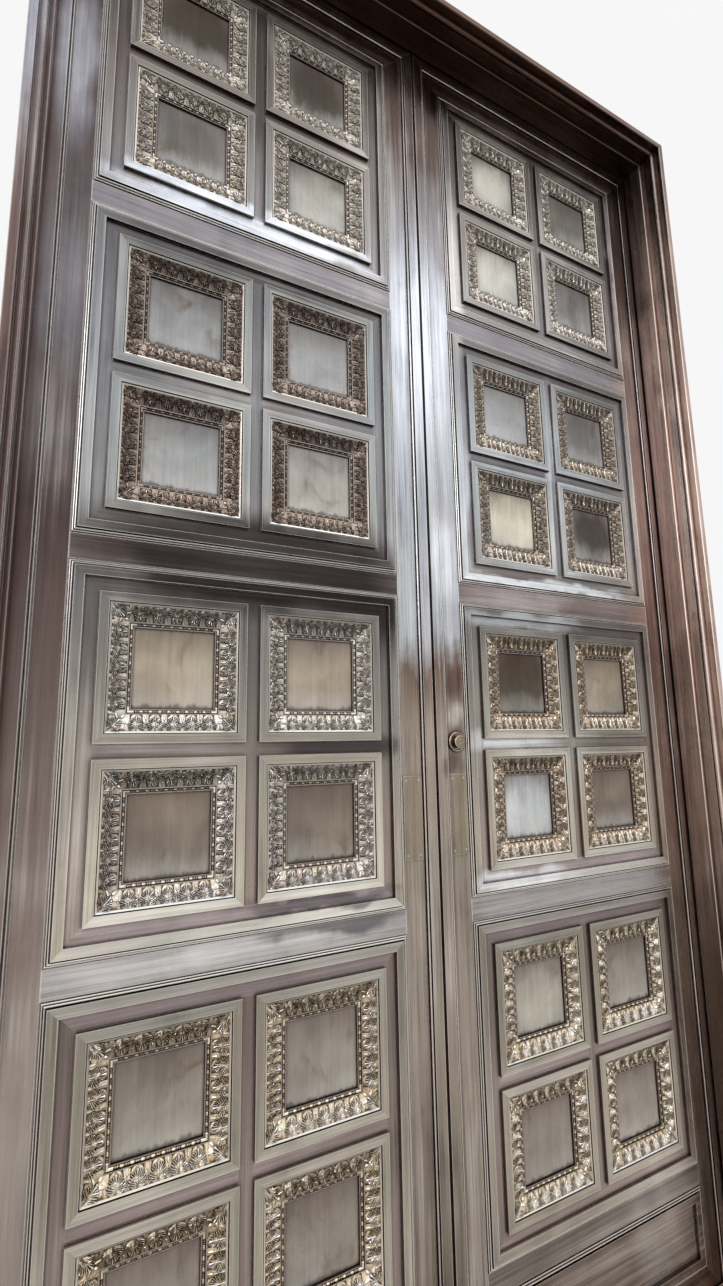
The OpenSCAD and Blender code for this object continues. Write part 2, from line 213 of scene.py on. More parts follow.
class Graph:
    """The nodes of one material or of the surroundings."""

    def __init__(self, tree: bpy.types.NodeTree) -> None:
        """Starts with an empty tree of nodes."""
        self.tree = tree
        self.tree.nodes.clear()

    def node(self, kind: str, settings: Optional[Mapping[str, object]] = None,
             inputs: Optional[Mapping[Union[str, int], Link]] = None) -> Ports:
        """Adds a node.

        Args:
            kind: Blender's name for the type of node.
            settings: properties of the node, or the stops of its ramp.
            inputs: value or link of each socket, by name, number or identifier.

        Returns:
            The outputs of the node.
        """
        made = self.tree.nodes.new(kind)
        for key, value in (settings or {}).items():
            if key == "stops":
                self._set_stops(made.color_ramp, value)
            else:
                setattr(made, key, value)
        for key, value in (inputs or {}).items():
            self._feed(made, key, value)
        return Ports(self, made)

    @staticmethod
    def _set_stops(ramp: bpy.types.ColorRamp, stops: Sequence[tuple[float, Rgb]]) -> None:
        """Gives a ramp its stops.

        Args:
            ramp: the ramp.
            stops: place and colour of each stop.
        """
        while len(ramp.elements) < len(stops):
            ramp.elements.new(1.0)
        for element, (place, colour) in zip(ramp.elements, stops):
            element.position = place
            element.color = (*colour, 1.0)

    def _feed(self, made: bpy.types.Node, key: Union[str, int], value: Link) -> None:
        """Links or sets one input of a node.

        Args:
            made: the node.
            key: the input's number, identifier or name.
            value: what it gets.
        """
        if isinstance(key, int):
            socket = made.inputs[key]
        else:
            socket = next(s for s in made.inputs if key in (s.identifier, s.name))
        if isinstance(value, Sock):
            self.tree.links.new(value.socket, socket)
        elif isinstance(value, (int, float)):
            socket.default_value = value
        else:
            wide = len(socket.default_value)
            socket.default_value = (*value, 1.0)[:wide]

    def mix(self, under: Link, over: Link, share: Value, blend: str = "MIX") -> Sock:
        """Mixes two colours.

        Args:
            under: colour where the share is 0.
            over: colour where the share is 1.
            share: how much of the second colour shows.
            blend: Blender's name for the way of mixing.

        Returns:
            The mixed colour.
        """
        settings = {"data_type": "RGBA", "blend_type": blend, "clamp_factor": True}
        inputs = {"Factor_Float": share, "A_Color": under, "B_Color": over}
        made = self.node("ShaderNodeMix", settings, inputs)
        return Sock(self, next(s for s in made.made.outputs if s.identifier == "Result_Color"))

    def pick(self, low: Value, high: Value, share: Value) -> Sock:
        """A value between two others, by share.

        Args:
            low: value where the share is 0.
            high: value where the share is 1.
            share: how much of the second value counts.

        Returns:
            The value.
        """
        made = self.node("ShaderNodeMix", {"data_type": "FLOAT", "clamp_factor": True},
                         {"Factor_Float": share, "A_Float": low, "B_Float": high})
        return made[0]

    def ramp(self, share: Value, stops: Sequence[tuple[float, Rgb]]) -> Sock:
        """A colour from a ramp of stops."""
        return self.node("ShaderNodeValToRGB", {"stops": stops}, {"Fac": share})["Color"]

    def vector(self, operation: str, *values: Link) -> Sock:
        """Adds one Vector Math node."""
        return self.node("ShaderNodeVectorMath", {"operation": operation},
                         dict(enumerate(values)))["Vector"]

    def brighten(self, colour: Link, times: Value) -> Sock:
        """A colour made so many times as bright."""
        return self.node("ShaderNodeVectorMath", {"operation": "SCALE"},
                         {0: colour, "Scale": times})["Vector"]

    def measure(self, operation: str, *values: Link) -> Sock:
        """Adds one Vector Math node that gives a number."""
        return self.node("ShaderNodeVectorMath", {"operation": operation},
                         dict(enumerate(values)))["Value"]

    def noise(self, place: Sock, stretch: Link, detail: float = 3.0,
              rough: float = 0.55, warp: float = 0.0) -> Sock:
        """Noise over a place in metres.

        Args:
            place: the place as a vector.
            stretch: how many features there are in a metre along X, Y and Z.
            detail: number of finer layers.
            rough: strength of the finer layers.
            warp: how much the pattern is twisted.

        Returns:
            A value about 0.5, from 0 to 1.
        """
        scaled = self.vector("MULTIPLY", place, stretch)
        inputs = {"Vector": scaled, "Scale": 1.0, "Detail": detail, "Roughness": rough,
                  "Distortion": warp}
        return self.node("ShaderNodeTexNoise", {"noise_dimensions": "3D"}, inputs)["Fac"]


class MetalGraph(Graph):
    """The nodes of one metal finish, with the place on the doors as its start."""

    def __init__(self, name: str) -> None:
        """Starts an empty material.

        Args:
            name: name of the material.
        """
        self.material = bpy.data.materials.new(name)
        self.material.use_nodes = True
        super().__init__(self.material.node_tree)
        self.place = self.node("ShaderNodeTexCoord")["Object"]
        axes = self.node("ShaderNodeSeparateXYZ", None, {"Vector": self.place})
        self.x, self.y, self.z = axes["X"], axes["Y"], axes["Z"]

    def field_place(self) -> tuple[Sock, Sock]:
        """X and Z from the centre of the field that a point lies in.

        Returns:
            The two distances.
        """
        in_x = abs(self.x) - GRID.field_x
        turns = (self.z - (GRID.field_zs[-1] - GRID.field_pitch / 2)) / GRID.field_pitch
        return in_x, (turns.fraction() - 0.5) * GRID.field_pitch

    def coffer_place(self) -> tuple[Sock, Sock]:
        """X and Z from the centre of the coffer that a point lies in."""
        in_x, in_z = self.field_place()
        return (in_x - in_x.sign() * GRID.coffer_step, in_z - in_z.sign() * GRID.coffer_step)

    def coffer_tilt(self) -> Sock:
        """1 on the lower side of a coffer, which faces up, -1 on its upper side, else 0."""
        across, up = self.coffer_place()
        return (abs(up) > abs(across)) * up.sign() * -1.0

    def openness(self, reach: float) -> Sock:
        """1 on open faces, less in corners and grooves nearer than the reach."""
        return self.node("ShaderNodeAmbientOcclusion", {"samples": 2}, {"Distance": reach})["AO"]

    def rubbed_and_glinting(self, radius: float) -> Sock:
        """1 along edges that stand out, rubbed bright by wear and with a painted glint of light.

        Args:
            radius: how far from the edge the bright band reaches.

        Returns:
            A value from 0 to 1.
        """
        rounded = self.node("ShaderNodeBevel", {"samples": 2}, {"Radius": radius})["Normal"]
        true = self.node("ShaderNodeNewGeometry")["Normal"]
        return (1.0 - self.measure("DOT_PRODUCT", rounded, true)).ease(0.01, 0.12)

    def lift(self) -> Sock:
        """1 on sides that face up, 0 on undersides, a half on upright faces."""
        # Serves as painted light from above.
        true = self.node("ShaderNodeNewGeometry")["Normal"]
        return self.node("ShaderNodeSeparateXYZ", None, {"Vector": true})["Z"].ease(-0.75, 0.75)

    def patched(self, colour: Link, patches: Sequence["Patch"], place: Sock,
                reach: float = 1.15, blend: str = "MIX") -> Link:
        """Lays patches over a colour.

        Args:
            colour: the colour under them.
            patches: the patches, the last one on top.
            place: place that their outlines are measured at, which may wander.
            reach: where a patch has faded out, in shares of its half size.
            blend: Blender's name for the way of mixing.

        Returns:
            The colour with the patches.
        """
        for patch in patches:
            offset = self.vector("SUBTRACT", place, (patch.x, 0.0, patch.z))
            scaled = self.vector("MULTIPLY", offset, (1 / patch.wide, 0.0, 1 / patch.high))
            share = 1.0 - self.measure("LENGTH", scaled).ease(patch.firm, reach)
            colour = self.mix(colour, patch.colour, share * patch.strength, blend)
        return colour

    def surface(self, colour: Link, roughness: Value, height: Optional[Sock] = None,
                depth: float = 0.001, metallic: float = 1.0) -> bpy.types.Material:
        """Closes the material with its surface.

        Args:
            colour: base colour.
            roughness: roughness before it is held within bounds.
            height: height of the fine unevenness, from about 0 to 1.
            depth: depth of that unevenness in metres.
            metallic: share of bare metal.

        Returns:
            The finished material.
        """
        if isinstance(roughness, Sock):
            roughness = roughness.larger(0.15).smaller(0.9)
        inputs: dict[Union[str, int], Link] = {"Base Color": colour, "Roughness": roughness,
                                               "Metallic": metallic}
        if height is not None:
            bent = {"Strength": 0.35, "Distance": depth, "Height": height}
            inputs["Normal"] = self.node("ShaderNodeBump", None, bent)["Normal"]
        shader = self.node("ShaderNodeBsdfPrincipled", None, inputs)["BSDF"]
        self.node("ShaderNodeOutputMaterial", None, {"Surface": shader})
        return self.material


# ---- finishes

@dataclass(frozen=True)
class Patch:
    """A soft-edged place on the doors whose tone differs from the rest: polish and tarnish, and in
    places a painted highlight.
    """

    x: float
    z: float
    wide: float
    high: float
    colour: Rgb
    strength: float = 0.7
    firm: float = 0.3


Tones = tuple[tuple[float, Rgb], ...]
DOOR_TOP = 3.65


@dataclass(frozen=True)
class BronzeFinish:
    """Finish of the flat and moulded bronze: its tones from the floor up, which hold painted
    reflection, brushing, dirt, painted shade in hollows and painted glints on edges.

    Each of the three layers of brushing is the number of its streaks in a metre, across the
    brushing and along it.
    """

    name: str
    tones: Tones
    grain: Grain = Grain.UPRIGHT
    level_tones: Tones = ()
    patches: tuple[Patch, ...] = ()
    tarnish_and_shade: Rgb = tone(84, 64, 58)
    tarnish_share: float = 0.55
    haze: Rgb = tone(214, 211, 207)
    haze_share: float = 0.4
    tint: Rgb = tone(172, 154, 162)
    tint_share: float = 0.16
    line: Rgb = tone(36, 20, 17)
    line_reach: float = 0.006
    grime_and_shade_reach: float = 0.016
    edge: Rgb = tone(248, 243, 236)
    edge_radius: float = 0.003
    wear_and_glint: float = 0.85
    streaks: float = 1.0
    fine_brush: Point = (420.0, 7.0)
    middle_brush: Point = (130.0, 2.6)
    broad_brush: Point = (34.0, 1.3)
    roughness: float = 0.27
    tooth: float = 0.0015

    def material(self) -> bpy.types.Material:
        """Makes the material of this finish.

        Returns:
            The material.
        """
        graph = MetalGraph(self.name)
        upright = self._uprightness(graph)
        fine = self._brushed(graph, upright, *self.fine_brush)
        middle = self._brushed(graph, upright, *self.middle_brush)
        broad = self._brushed(graph, upright, *self.broad_brush)
        cloud = graph.noise(graph.place, (6.0, 6.0, 4.2), 4.0, 0.62, 0.5)
        colour = self._metal(graph, upright, middle, broad, cloud)
        shade = (fine - 0.5) * 0.6 + (middle - 0.5) * 0.9 + (broad - 0.5) * 1.0
        shade = shade * self._streaks(graph) + (cloud - 0.5) * 1.15 + 1.0
        # On the fields, level bars come out a little brighter than upright ones as painted sheen
        # of the brushing, and lower bands brighter than upper ones as painted light from above.
        if self.grain is Grain.AROUND:
            shade = shade * graph.pick(1.06, 0.9, upright) * self._by_band(graph)
        colour = graph.brighten(colour, shade.larger(0.2))
        # Painted light from above: faces that look up are brightened, undersides darkened.
        lift = graph.lift()
        colour = graph.brighten(colour, graph.pick(0.35, 1.65, lift))
        speck = graph.noise(graph.place, (150.0, 150.0, 150.0), 2.0)
        # Darkening in hollows and corners: partly patina that gathers there, partly painted shade.
        hollow = 1.0 - graph.openness(self.grime_and_shade_reach)
        groove = 1.0 - graph.openness(self.line_reach)
        colour = graph.mix(colour, self.tarnish_and_shade, (hollow * (speck + 0.6)).ease(0.08, 0.75) * 0.75)
        # Dark lines in grooves and quirks: partly patina, partly painted shade.
        colour = graph.mix(colour, self.line, (groove * (speck * 0.5 + 0.8)).ease(0.11, 0.29))
        # Bright edges: partly rubbed by wear, partly painted glints of light.
        colour = graph.mix(colour, self.edge,
                           graph.rubbed_and_glinting(self.edge_radius) * (1.0 - hollow).ease(0.25, 0.7)
                           * self.wear_and_glint)
        rough = (broad - 0.5) * 0.3 + (fine - 0.5) * 0.16 + (cloud - 0.5) * 0.35 + hollow * 0.3
        height = fine * 0.2 + middle * 0.16 + cloud * 1.1
        return graph.surface(colour, rough + self.roughness, height, self.tooth)

    def _streaks(self, graph: MetalGraph) -> Value:
        """Strength of the brushing streaks."""
        return self.streaks

    def _by_band(self, graph: MetalGraph) -> Sock:
        """Brightness within a field, painted light from above: its lower bands lighter than its
        upper ones.
        """
        up = graph.field_place()[1]
        return graph.pick(graph.pick(1.25, 0.72, up.ease(-0.3, 0.34)), 1.0, self._on_panel(graph))

    def _uprightness(self, graph: MetalGraph) -> Value:
        """1 where the brushing runs up and down, 0 where it runs along X.

        Args:
            graph: nodes of the finish.

        Returns:
            The value.
        """
        if self.grain is not Grain.AROUND:
            return 1.0 if self.grain is Grain.UPRIGHT else 0.0
        in_x, in_z = graph.field_place()
        coffer_x, coffer_z = graph.coffer_place()
        on_frame = abs(coffer_x).larger(abs(coffer_z)) < GRID.frame_half
        on_cross = abs(in_x).larger(abs(in_z)) < GRID.cross_reach
        by_bar = abs(in_x) < GRID.bar_half
        by_field = graph.pick(abs(in_x) > abs(in_z), by_bar, on_cross)
        by_coffer = abs(coffer_x) > abs(coffer_z)
        return graph.pick(graph.pick(by_field, by_coffer, on_frame), 1.0, self._on_panel(graph))

    @staticmethod
    def _on_panel(graph: MetalGraph) -> Sock:
        """1 on the sunk centre panels."""
        return graph.y > GRID.panel_y - 2 * GRID.play

    @staticmethod
    def _brushed(graph: MetalGraph, upright: Value, across: float, along: float) -> Sock:
        """Streaks along the brushing, with so many in a metre across and along.

        Args:
            graph: nodes of the finish.
            upright: 1 where the brushing runs up and down.
            across: number of streaks in a metre across the brushing.
            along: number of streaks in a metre along it.

        Returns:
            A value about 0.5, from 0 to 1.
        """
        up, level = (across, across, along), (along, across, across)
        if isinstance(upright, Sock):
            return graph.noise(graph.place, graph.mix(level, up, upright), 2.0, 0.6)
        return graph.noise(graph.place, up if upright else level, 2.0, 0.6)

    @staticmethod
    def _by_height(graph: MetalGraph, tones: Tones, wobble: Value) -> Sock:
        """Tone of the metal at its height above the floor, with uneven changes."""
        # The tones hold painted reflection as well as tarnish: dark high up, where a dark ceiling
        # is mirrored, silver in the middle, where bright sky is mirrored.
        stops = [(height / DOOR_TOP, colour) for height, colour in tones]
        return graph.ramp((graph.z + wobble) / DOOR_TOP, stops)

    def _metal(self, graph: MetalGraph, upright: Value, middle: Sock, broad: Sock,
               cloud: Sock) -> Link:
        """Colour of the metal before its streaks, dirt and worn edges.

        Args:
            graph: nodes of the finish.
            upright: 1 where the brushing runs up and down.
            middle: the middle layer of brushing.
            broad: the broad layer of brushing.
            cloud: soft clouds.

        Returns:
            The colour.
        """
        wobble = (cloud - 0.5) * 0.26 + (broad - 0.5) * 0.16
        colour: Link = self._by_height(graph, self.tones, wobble)
        if self.level_tones:
            level = self._by_height(graph, self.level_tones, wobble * 0.6)
            colour = graph.mix(level, colour, upright)
        drift = graph.noise(graph.place, (2.6, 2.6, 1.8), 3.0, 0.6, 0.3)
        colour = graph.mix(colour, self.tarnish_and_shade,
                           (cloud * 0.6 + broad * 0.3 + middle * 0.25).ease(0.5, 0.78)
                           * self.tarnish_share)
        colour = graph.mix(colour, self.haze,
                           (drift * 0.6 + broad * 0.3 + middle * 0.2).ease(0.52, 0.72)
                           * self.haze_share)
        bloom = graph.noise(graph.place, (4.0, 7.0, 5.0), 2.0, 0.5, 0.6)
        colour = graph.mix(colour, graph.mix(colour, self.tint, 1.0, "SOFT_LIGHT"),
                           bloom.ease(0.42, 0.62) * self.tint_share)
        return self._over(graph, colour, drift)

    def _over(self, graph: MetalGraph, colour: Link, drift: Sock) -> Link:
        """Lays the patches over the front of the metal, with outlines that wander.

        Args:
            graph: nodes of the finish.
            colour: the colour under them.
            drift: noise, not used.

        Returns:
            The colour with the patches.
        """
        if not self.patches:
            return colour
        sway = graph.node("ShaderNodeTexNoise", None, {
            "Vector": graph.vector("MULTIPLY", graph.place, (9.0, 9.0, 6.0)), "Scale": 1.0,
            "Detail": 3.0})["Color"]
        sway = graph.vector("MULTIPLY", graph.vector("SUBTRACT", sway, (0.5, 0.5, 0.5)),
                            (0.09, 0.0, 0.09))
        patched = graph.patched(colour, self.patches, graph.vector("ADD", graph.place, sway))
        return graph.mix(colour, patched, graph.y < GRID.front_depth)


@dataclass(frozen=True)
class FieldFinish(BronzeFinish):
    """Finish of the field plates, whose sunk panels have a tone of their own."""

    panels: Tones = ()
    stain: Rgb = tone(112, 92, 68)
    panel_patches: tuple[Patch, ...] = ()
    raised_cast: Rgb = (1.04, 1.05, 1.02)
    low_cast: Rgb = (0.8, 0.72, 0.77)
    high_cast: Rgb = (0.82, 0.8, 0.8)

    def _streaks(self, graph: MetalGraph) -> Value:
        """Strength of the brushing streaks: the panels are smoother than the bands."""
        return graph.pick(self.streaks, self.streaks * 0.3, self._on_panel(graph))

    def _over(self, graph: MetalGraph, colour: Link, drift: Sock) -> Link:
        """Tones the sunk bars, lays the patches over the bars, and adds the panels.

        Args:
            graph: nodes of the finish.
            colour: the colour under them.
            drift: noise that moves the outlines.

        Returns:
            The colour of the field.
        """
        sunk = graph.y > GRID.ground_y - GRID.play
        sunk_cast = graph.mix(self.low_cast, self.high_cast, graph.z.ease(1.0, 1.7))
        cast = graph.mix(self.raised_cast, sunk_cast, sunk)
        colour = graph.vector("MULTIPLY", colour, cast)
        patched = super()._over(graph, colour, drift)
        return graph.mix(patched, self._panel(graph, drift), self._on_panel(graph))

    def _panel(self, graph: MetalGraph, drift: Sock) -> Sock:
        """Colour of the panels: painted shadow of the frame under the top edge, stained, with
        ragged dirt at the foot.

        Args:
            graph: nodes of the finish.
            drift: noise that moves the outlines.

        Returns:
            The colour.
        """
        up = graph.coffer_place()[1]
        streak = graph.noise(graph.place, (60.0, 60.0, 7.0), 4.0, 0.65, 0.2)
        cast = graph.noise(graph.place, (11.0, 11.0, 8.0), 4.0, 0.6, 0.8)
        colour = self._by_height(graph, self.panels, (drift - 0.5) * 0.9)
        colour = graph.brighten(colour, (cast - 0.5) * 0.5 + (streak - 0.5) * 0.2 + 1.0)
        colour = graph.mix(colour, self.stain, cast.ease(0.56, 0.74) * 0.6)
        sway = graph.node("ShaderNodeCombineXYZ", None,
                          {"X": (cast - 0.5) * 0.05, "Z": (cast + streak - 1.0) * 0.04})["Vector"]
        colour = graph.patched(colour, self.panel_patches, graph.vector("ADD", graph.place, sway))
        # Painted shadow of the frame over the top of each sunk panel.
        fall = up + (streak - 0.5) * 0.07 + (cast - 0.5) * 0.1
        colour = graph.mix(colour, self.tarnish_and_shade, fall.ease(-0.01, 0.1) * 0.55)
        ragged = up + (streak - 0.5) * 0.035
        foot = 1.0 - ragged.ease(-0.079, -0.07)
        colour = graph.mix(colour, self.haze, (1.0 - fall.ease(-0.075, -0.02)) * 0.3)
        return graph.mix(colour, self.line, foot * 0.55)


@dataclass(frozen=True)
class CofferFinish(BronzeFinish):
    """Finish of the coffer frames: a pale flat rim, and rings of their own tone inside it."""

    rings: Tones = ()
    rim: float = 0.13
    rim_cast: Rgb = (1.1, 1.12, 1.06)

    def _over(self, graph: MetalGraph, colour: Link, drift: Sock) -> Link:
        """Tones the rings by their distance from the coffer's centre.

        Args:
            graph: nodes of the finish.
            colour: the colour under the tones.
            drift: noise, not used.

        Returns:
            The colour of the frame.
        """
        across, up = graph.coffer_place()
        reach = abs(across).larger(abs(up))
        ring = graph.ramp(reach / self.rim, [(at / self.rim, shade) for at, shade in self.rings])
        # Painted light from above: the lower side of each coffer's rings, which faces up, is
        # brightened, the upper side darkened.
        ring = graph.brighten(ring, graph.coffer_tilt() * 0.3 + 1.0)
        patched = super()._over(graph, graph.vector("MULTIPLY", colour, self.rim_cast), drift)
        return graph.mix(patched, ring, reach < self.rim)


@dataclass(frozen=True)
class CarvedFinish:
    """Finish of the carving: bright where it stands up, partly polish and partly painted light,
    dark between the leaves, partly patina and partly painted shade.
    """

    name: str
    high: Rgb
    middle: Rgb
    deep: Rgb
    roughness: float = 0.26
    tooth: float = 0.0012
    gap_reach: float = 0.003
    patches: tuple[Patch, ...] = ()
    patch_reach: float = 1.1

    def material(self) -> bpy.types.Material:
        """Makes the material of this finish.

        Returns:
            The material.
        """
        graph = MetalGraph(self.name)
        cloud = graph.noise(graph.place, (9.0, 9.0, 9.0), 4.0, 0.65, 0.4)
        speck = graph.noise(graph.place, (330.0, 330.0, 330.0), 2.0, 0.65)
        vein = self._veins(graph)
        relief = graph.node("ShaderNodeAttribute", {"attribute_name": "relief"})["Fac"]
        # The gap paints shade into the creases between the lobes; the high points are bright
        # partly from polish, partly as painted light.
        gap = graph.openness(self.gap_reach)
        lit = (relief * 0.75 + gap * 1.2 + (speck - 0.5) * 0.5 + (vein - 0.5) * 0.6
               + (cloud - 0.5) * 0.5 - 0.78)
        colour: Link = graph.ramp(lit, ((0.05, self.deep), (0.48, self.middle), (0.92, self.high)))
        # Painted light from above: faces that look up and the lower side of each coffer are
        # brightened, undersides and the upper side darkened.
        lift = graph.pick(0.35, 1.65, graph.lift()) * (graph.coffer_tilt() * 0.34 + 1.08)
        colour = graph.brighten(colour, lift)
        colour = graph.patched(colour, self.patches, graph.place, self.patch_reach, "MULTIPLY")
        rough = (speck - 0.5) * 0.25 + (1.0 - lit) * 0.35 + self.roughness
        return graph.surface(colour, rough, speck * 0.3 + vein, self.tooth)

    @staticmethod
    def _veins(graph: MetalGraph) -> Sock:
        """Fine wavy ribs that run from the inner edge of the band to its outer edge.

        Args:
            graph: nodes of the finish.

        Returns:
            Height of the ribs.
        """
        across, up = graph.coffer_place()
        outward = abs(across).larger(abs(up))
        along = abs(across).smaller(abs(up))
        spot = graph.node("ShaderNodeCombineXYZ", None, {
            "X": along, "Y": graph.x * 0.02 + graph.z * 0.03, "Z": outward})["Vector"]
        return graph.noise(spot, (560.0, 560.0, 150.0), 2.0, 0.6, 0.7)


# ---- the carved leaves, buds and beads of a coffer, drawn in millimetres

@dataclass(frozen=True)
class Lobe:
    """One rounded lobe of the carving, from its root to its tip."""

    root: Point
    tip: Point
    radii: Point
    rises: Point
    fullness: float = 0.75

    def height(self, across: np.ndarray, out: np.ndarray) -> np.ndarray:
        """Height of the lobe over the band, 0 beside it.

        Args:
            across: distance of each point from the middle of the motif.
            out: distance of each point from the inner edge of the band.

        Returns:
            The height at each point.
        """
        step_a, step_o = self.tip[0] - self.root[0], self.tip[1] - self.root[1]
        length = step_a * step_a + step_o * step_o
        along = ((across - self.root[0]) * step_a + (out - self.root[1]) * step_o) / length
        along = np.clip(along, 0.0, 1.0)
        away = np.hypot(across - self.root[0] - along * step_a,
                        out - self.root[1] - along * step_o)
        radius = self.radii[0] + (self.radii[1] - self.radii[0]) * along
        rise = self.rises[0] + (self.rises[1] - self.rises[0]) * along
        return rise * np.clip(1.0 - (away / radius) ** 2, 0.0, None) ** self.fullness


def tallest(motif: Sequence[Lobe], across: np.ndarray, out: np.ndarray) -> np.ndarray:
    """Height of the tallest lobe of a motif at each point.

    Args:
        motif: the lobes.
        across: distance of each point from the middle of the motif.
        out: distance of each point from the inner edge of the band.

    Returns:
        The height at each point.
    """
    return np.maximum.reduce([lobe.height(across, out) for lobe in motif])


@dataclass(frozen=True)
class CofferCarving:
    """The carving of one coffer: leaves, darts and buds on the band, beads in the hollow."""

    band_in: float = 92.0
    band_w: float = 32.5
    band_low: float = 11.56
    band_top: float = 4.1
    band_play: float = 0.3
    leaf_pitch: float = 35.34
    full_relief: float = 4.2
    cells: int = 216
    rows: int = 58
    kept_share: float = 0.098
    weld_reach: float = 0.01
    sink: float = 0.5
    seat: float = 0.3
    shell: float = 1.5
    bead_half: float = 86.5
    bead_y: float = 14.0
    bead_end: float = 75.5
    bead_relief: float = 6.0
    core_r: float = 1.1
    core_end: float = 1.0
    bead_r: float = 3.0
    bead_l: float = 8.4
    bead_outline: tuple[Point, ...] = ((-1, 0), (-0.72, 0.72), (0, 1), (0.72, 0.72), (1, 0))
    reel_r: float = 2.5
    reel_w: float = 1.5
    reel_bevel: float = 0.3
    reel_at: float = 1.6
    bead_sides: int = 8
    bar_half: float = 2.7
    bar_front: float = 2.9
    bar_shoulder: float = 1.7
    bar_sunk: float = 0.6
    bar_bevels: Point = (1.0, 1.2)
    leaf: tuple[Lobe, ...] = (
        Lobe((0, 24.0), (0, 10.0), (6.0, 11.0), (1.0, 1.8), 0.35),
        Lobe((1.0, 29.0), (9.5, 22.0), (6.5, 7.4), (0.9, 1.4), 0.35),
        Lobe((0, 31.8), (0, 12.0), (0.9, 1.0), (1.9, 3.8)),
        Lobe((0, 17.0), (0, 3.4), (0.8, 2.6), (2.4, 6.4), 0.6),
        Lobe((0.8, 17.0), (4.9, 6.4), (0.8, 1.8), (2.2, 5.2)),
        Lobe((1.4, 17.4), (8.2, 8.6), (0.8, 1.6), (2.2, 4.6)),
        Lobe((1.8, 18.0), (10.4, 11.8), (0.8, 1.3), (2.0, 3.8)),
        Lobe((1.6, 23.0), (12.4, 15.2), (0.8, 1.4), (2.0, 4.2)),
        Lobe((1.8, 26.0), (14.6, 18.4), (0.8, 1.5), (2.0, 4.4)),
        Lobe((2.0, 28.4), (15.6, 22.0), (0.8, 1.5), (1.8, 4.0)),
        Lobe((2.4, 30.0), (14.6, 25.6), (0.8, 1.3), (1.6, 3.2)),
        Lobe((2.6, 31.2), (12.4, 28.6), (0.8, 1.1), (1.4, 2.4)),
        Lobe((3.0, 32.4), (9.6, 31.2), (0.8, 1.0), (1.2, 1.8)),
        Lobe((6.2, 19.0), (3.2, 29.6), (0.7, 0.6), (2.6, 1.6)),
    )
    dart: tuple[Lobe, ...] = (
        Lobe((0, 3.0), (0, 29.0), (6.5, 4.5), (1.4, 1.0), 0.3),
        Lobe((0, 1.6), (0, 9.0), (1.4, 2.4), (1.8, 3.8), 0.7),
        Lobe((0, 11.0), (0, 32.0), (0.9, 0.9), (2.8, 1.7), 0.5),
    )
    corner_buds: tuple[Lobe, ...] = (
        Lobe((88.4, 3.0), (88.4, 29.0), (6.5, 4.5), (1.4, 1.0), 0.3),
        Lobe((95.0, 8.0), (98.0, 24.0), (7.0, 6.0), (1.3, 1.0), 0.3),
        Lobe((94.8, 2.8), (97.0, 4.6), (3.2, 3.6), (3.4, 4.6), 0.6),
        Lobe((89.8, 17.0), (97.0, 14.6), (1.8, 2.8), (2.6, 4.4), 0.6),
        Lobe((88.0, 18.4), (84.6, 29.8), (0.9, 0.7), (2.4, 1.3), 0.6),
        Lobe((91.4, 20.2), (88.9, 30.4), (0.9, 0.7), (2.4, 1.3), 0.6),
    )
    corner_leaf_at: float = 10.5
    leaf_steps: tuple[float, ...] = (0, 1, 2)
    dart_steps: tuple[float, ...] = (0.5, 1.5)

    def band_y(self, out: np.ndarray) -> np.ndarray:
        """Depth of the plain band at a distance from its inner edge.

        Args:
            out: the distances, in millimetres.

        Returns:
            The depths, in millimetres.
        """
        share = (self.band_w - out) / self.band_w
        sway = np.sin(2 * math.pi * share) / 10
        return self.band_top + (self.band_low - self.band_top) * (share - sway)

    def relief(self, along: np.ndarray, out: np.ndarray) -> np.ndarray:
        """Height of the carving over the band, for an eighth of the frame.

        Args:
            along: distance of each point from the middle of the side.
            out: distance of each point from the inner edge of the band.

        Returns:
            The height at each point.
        """
        diagonal = (along + out - self.band_in) / math.sqrt(2) - self.corner_leaf_at
        beside = np.abs(along - out - self.band_in) / math.sqrt(2)
        highs = [tallest(self.corner_buds, along, out), tallest(self.leaf, beside, diagonal)]
        for motif, steps in ((self.leaf, self.leaf_steps), (self.dart, self.dart_steps)):
            for step in steps:
                highs.append(tallest(motif, np.abs(along - step * self.leaf_pitch), out))
        return np.maximum.reduce(highs)

    def sheet(self) -> bpy.types.Mesh:
        """The carved band as one closed ring, thinned where it is plain.

        Returns:
            The mesh, in millimetres about the coffer's centre.
        """
        out, share = np.meshgrid(np.linspace(0.0, self.band_w - self.band_play, self.rows + 1),
                                 np.linspace(0.0, 1.0, self.cells + 1))
        along = share * (self.band_in + out)
        high = self.relief(along, out)
        seated = self.sink * (1.0 - np.clip(high / self.seat, 0.0, 1.0))
        depth = self.band_y(out) + seated - high
        reach = self.band_in + out
        points, faces = [], []
        per_row = self.rows + 1
        cell = np.arange(self.cells)[:, None] * per_row + np.arange(self.rows)[None, :]
        quad = np.stack([cell, cell + 1, cell + per_row + 1, cell + per_row], -1).reshape(-1, 4)
        for mirror_a in (-1, 1):
            for mirror_r in (-1, 1):
                for swap in (False, True):
                    first, second = mirror_a * along, mirror_r * reach
                    x, z = (second, first) if swap else (first, second)
                    faces.append(quad + len(points) * along.size)
                    points.append(np.stack([x, depth, z], -1).reshape(-1, 3))
        mesh = mesh_of("carving_grid", np.concatenate(points), np.concatenate(faces))
        weld(mesh, self.weld_reach)
        thinned = thin(mesh, self.kept_share)
        self._close(thinned)
        return thinned

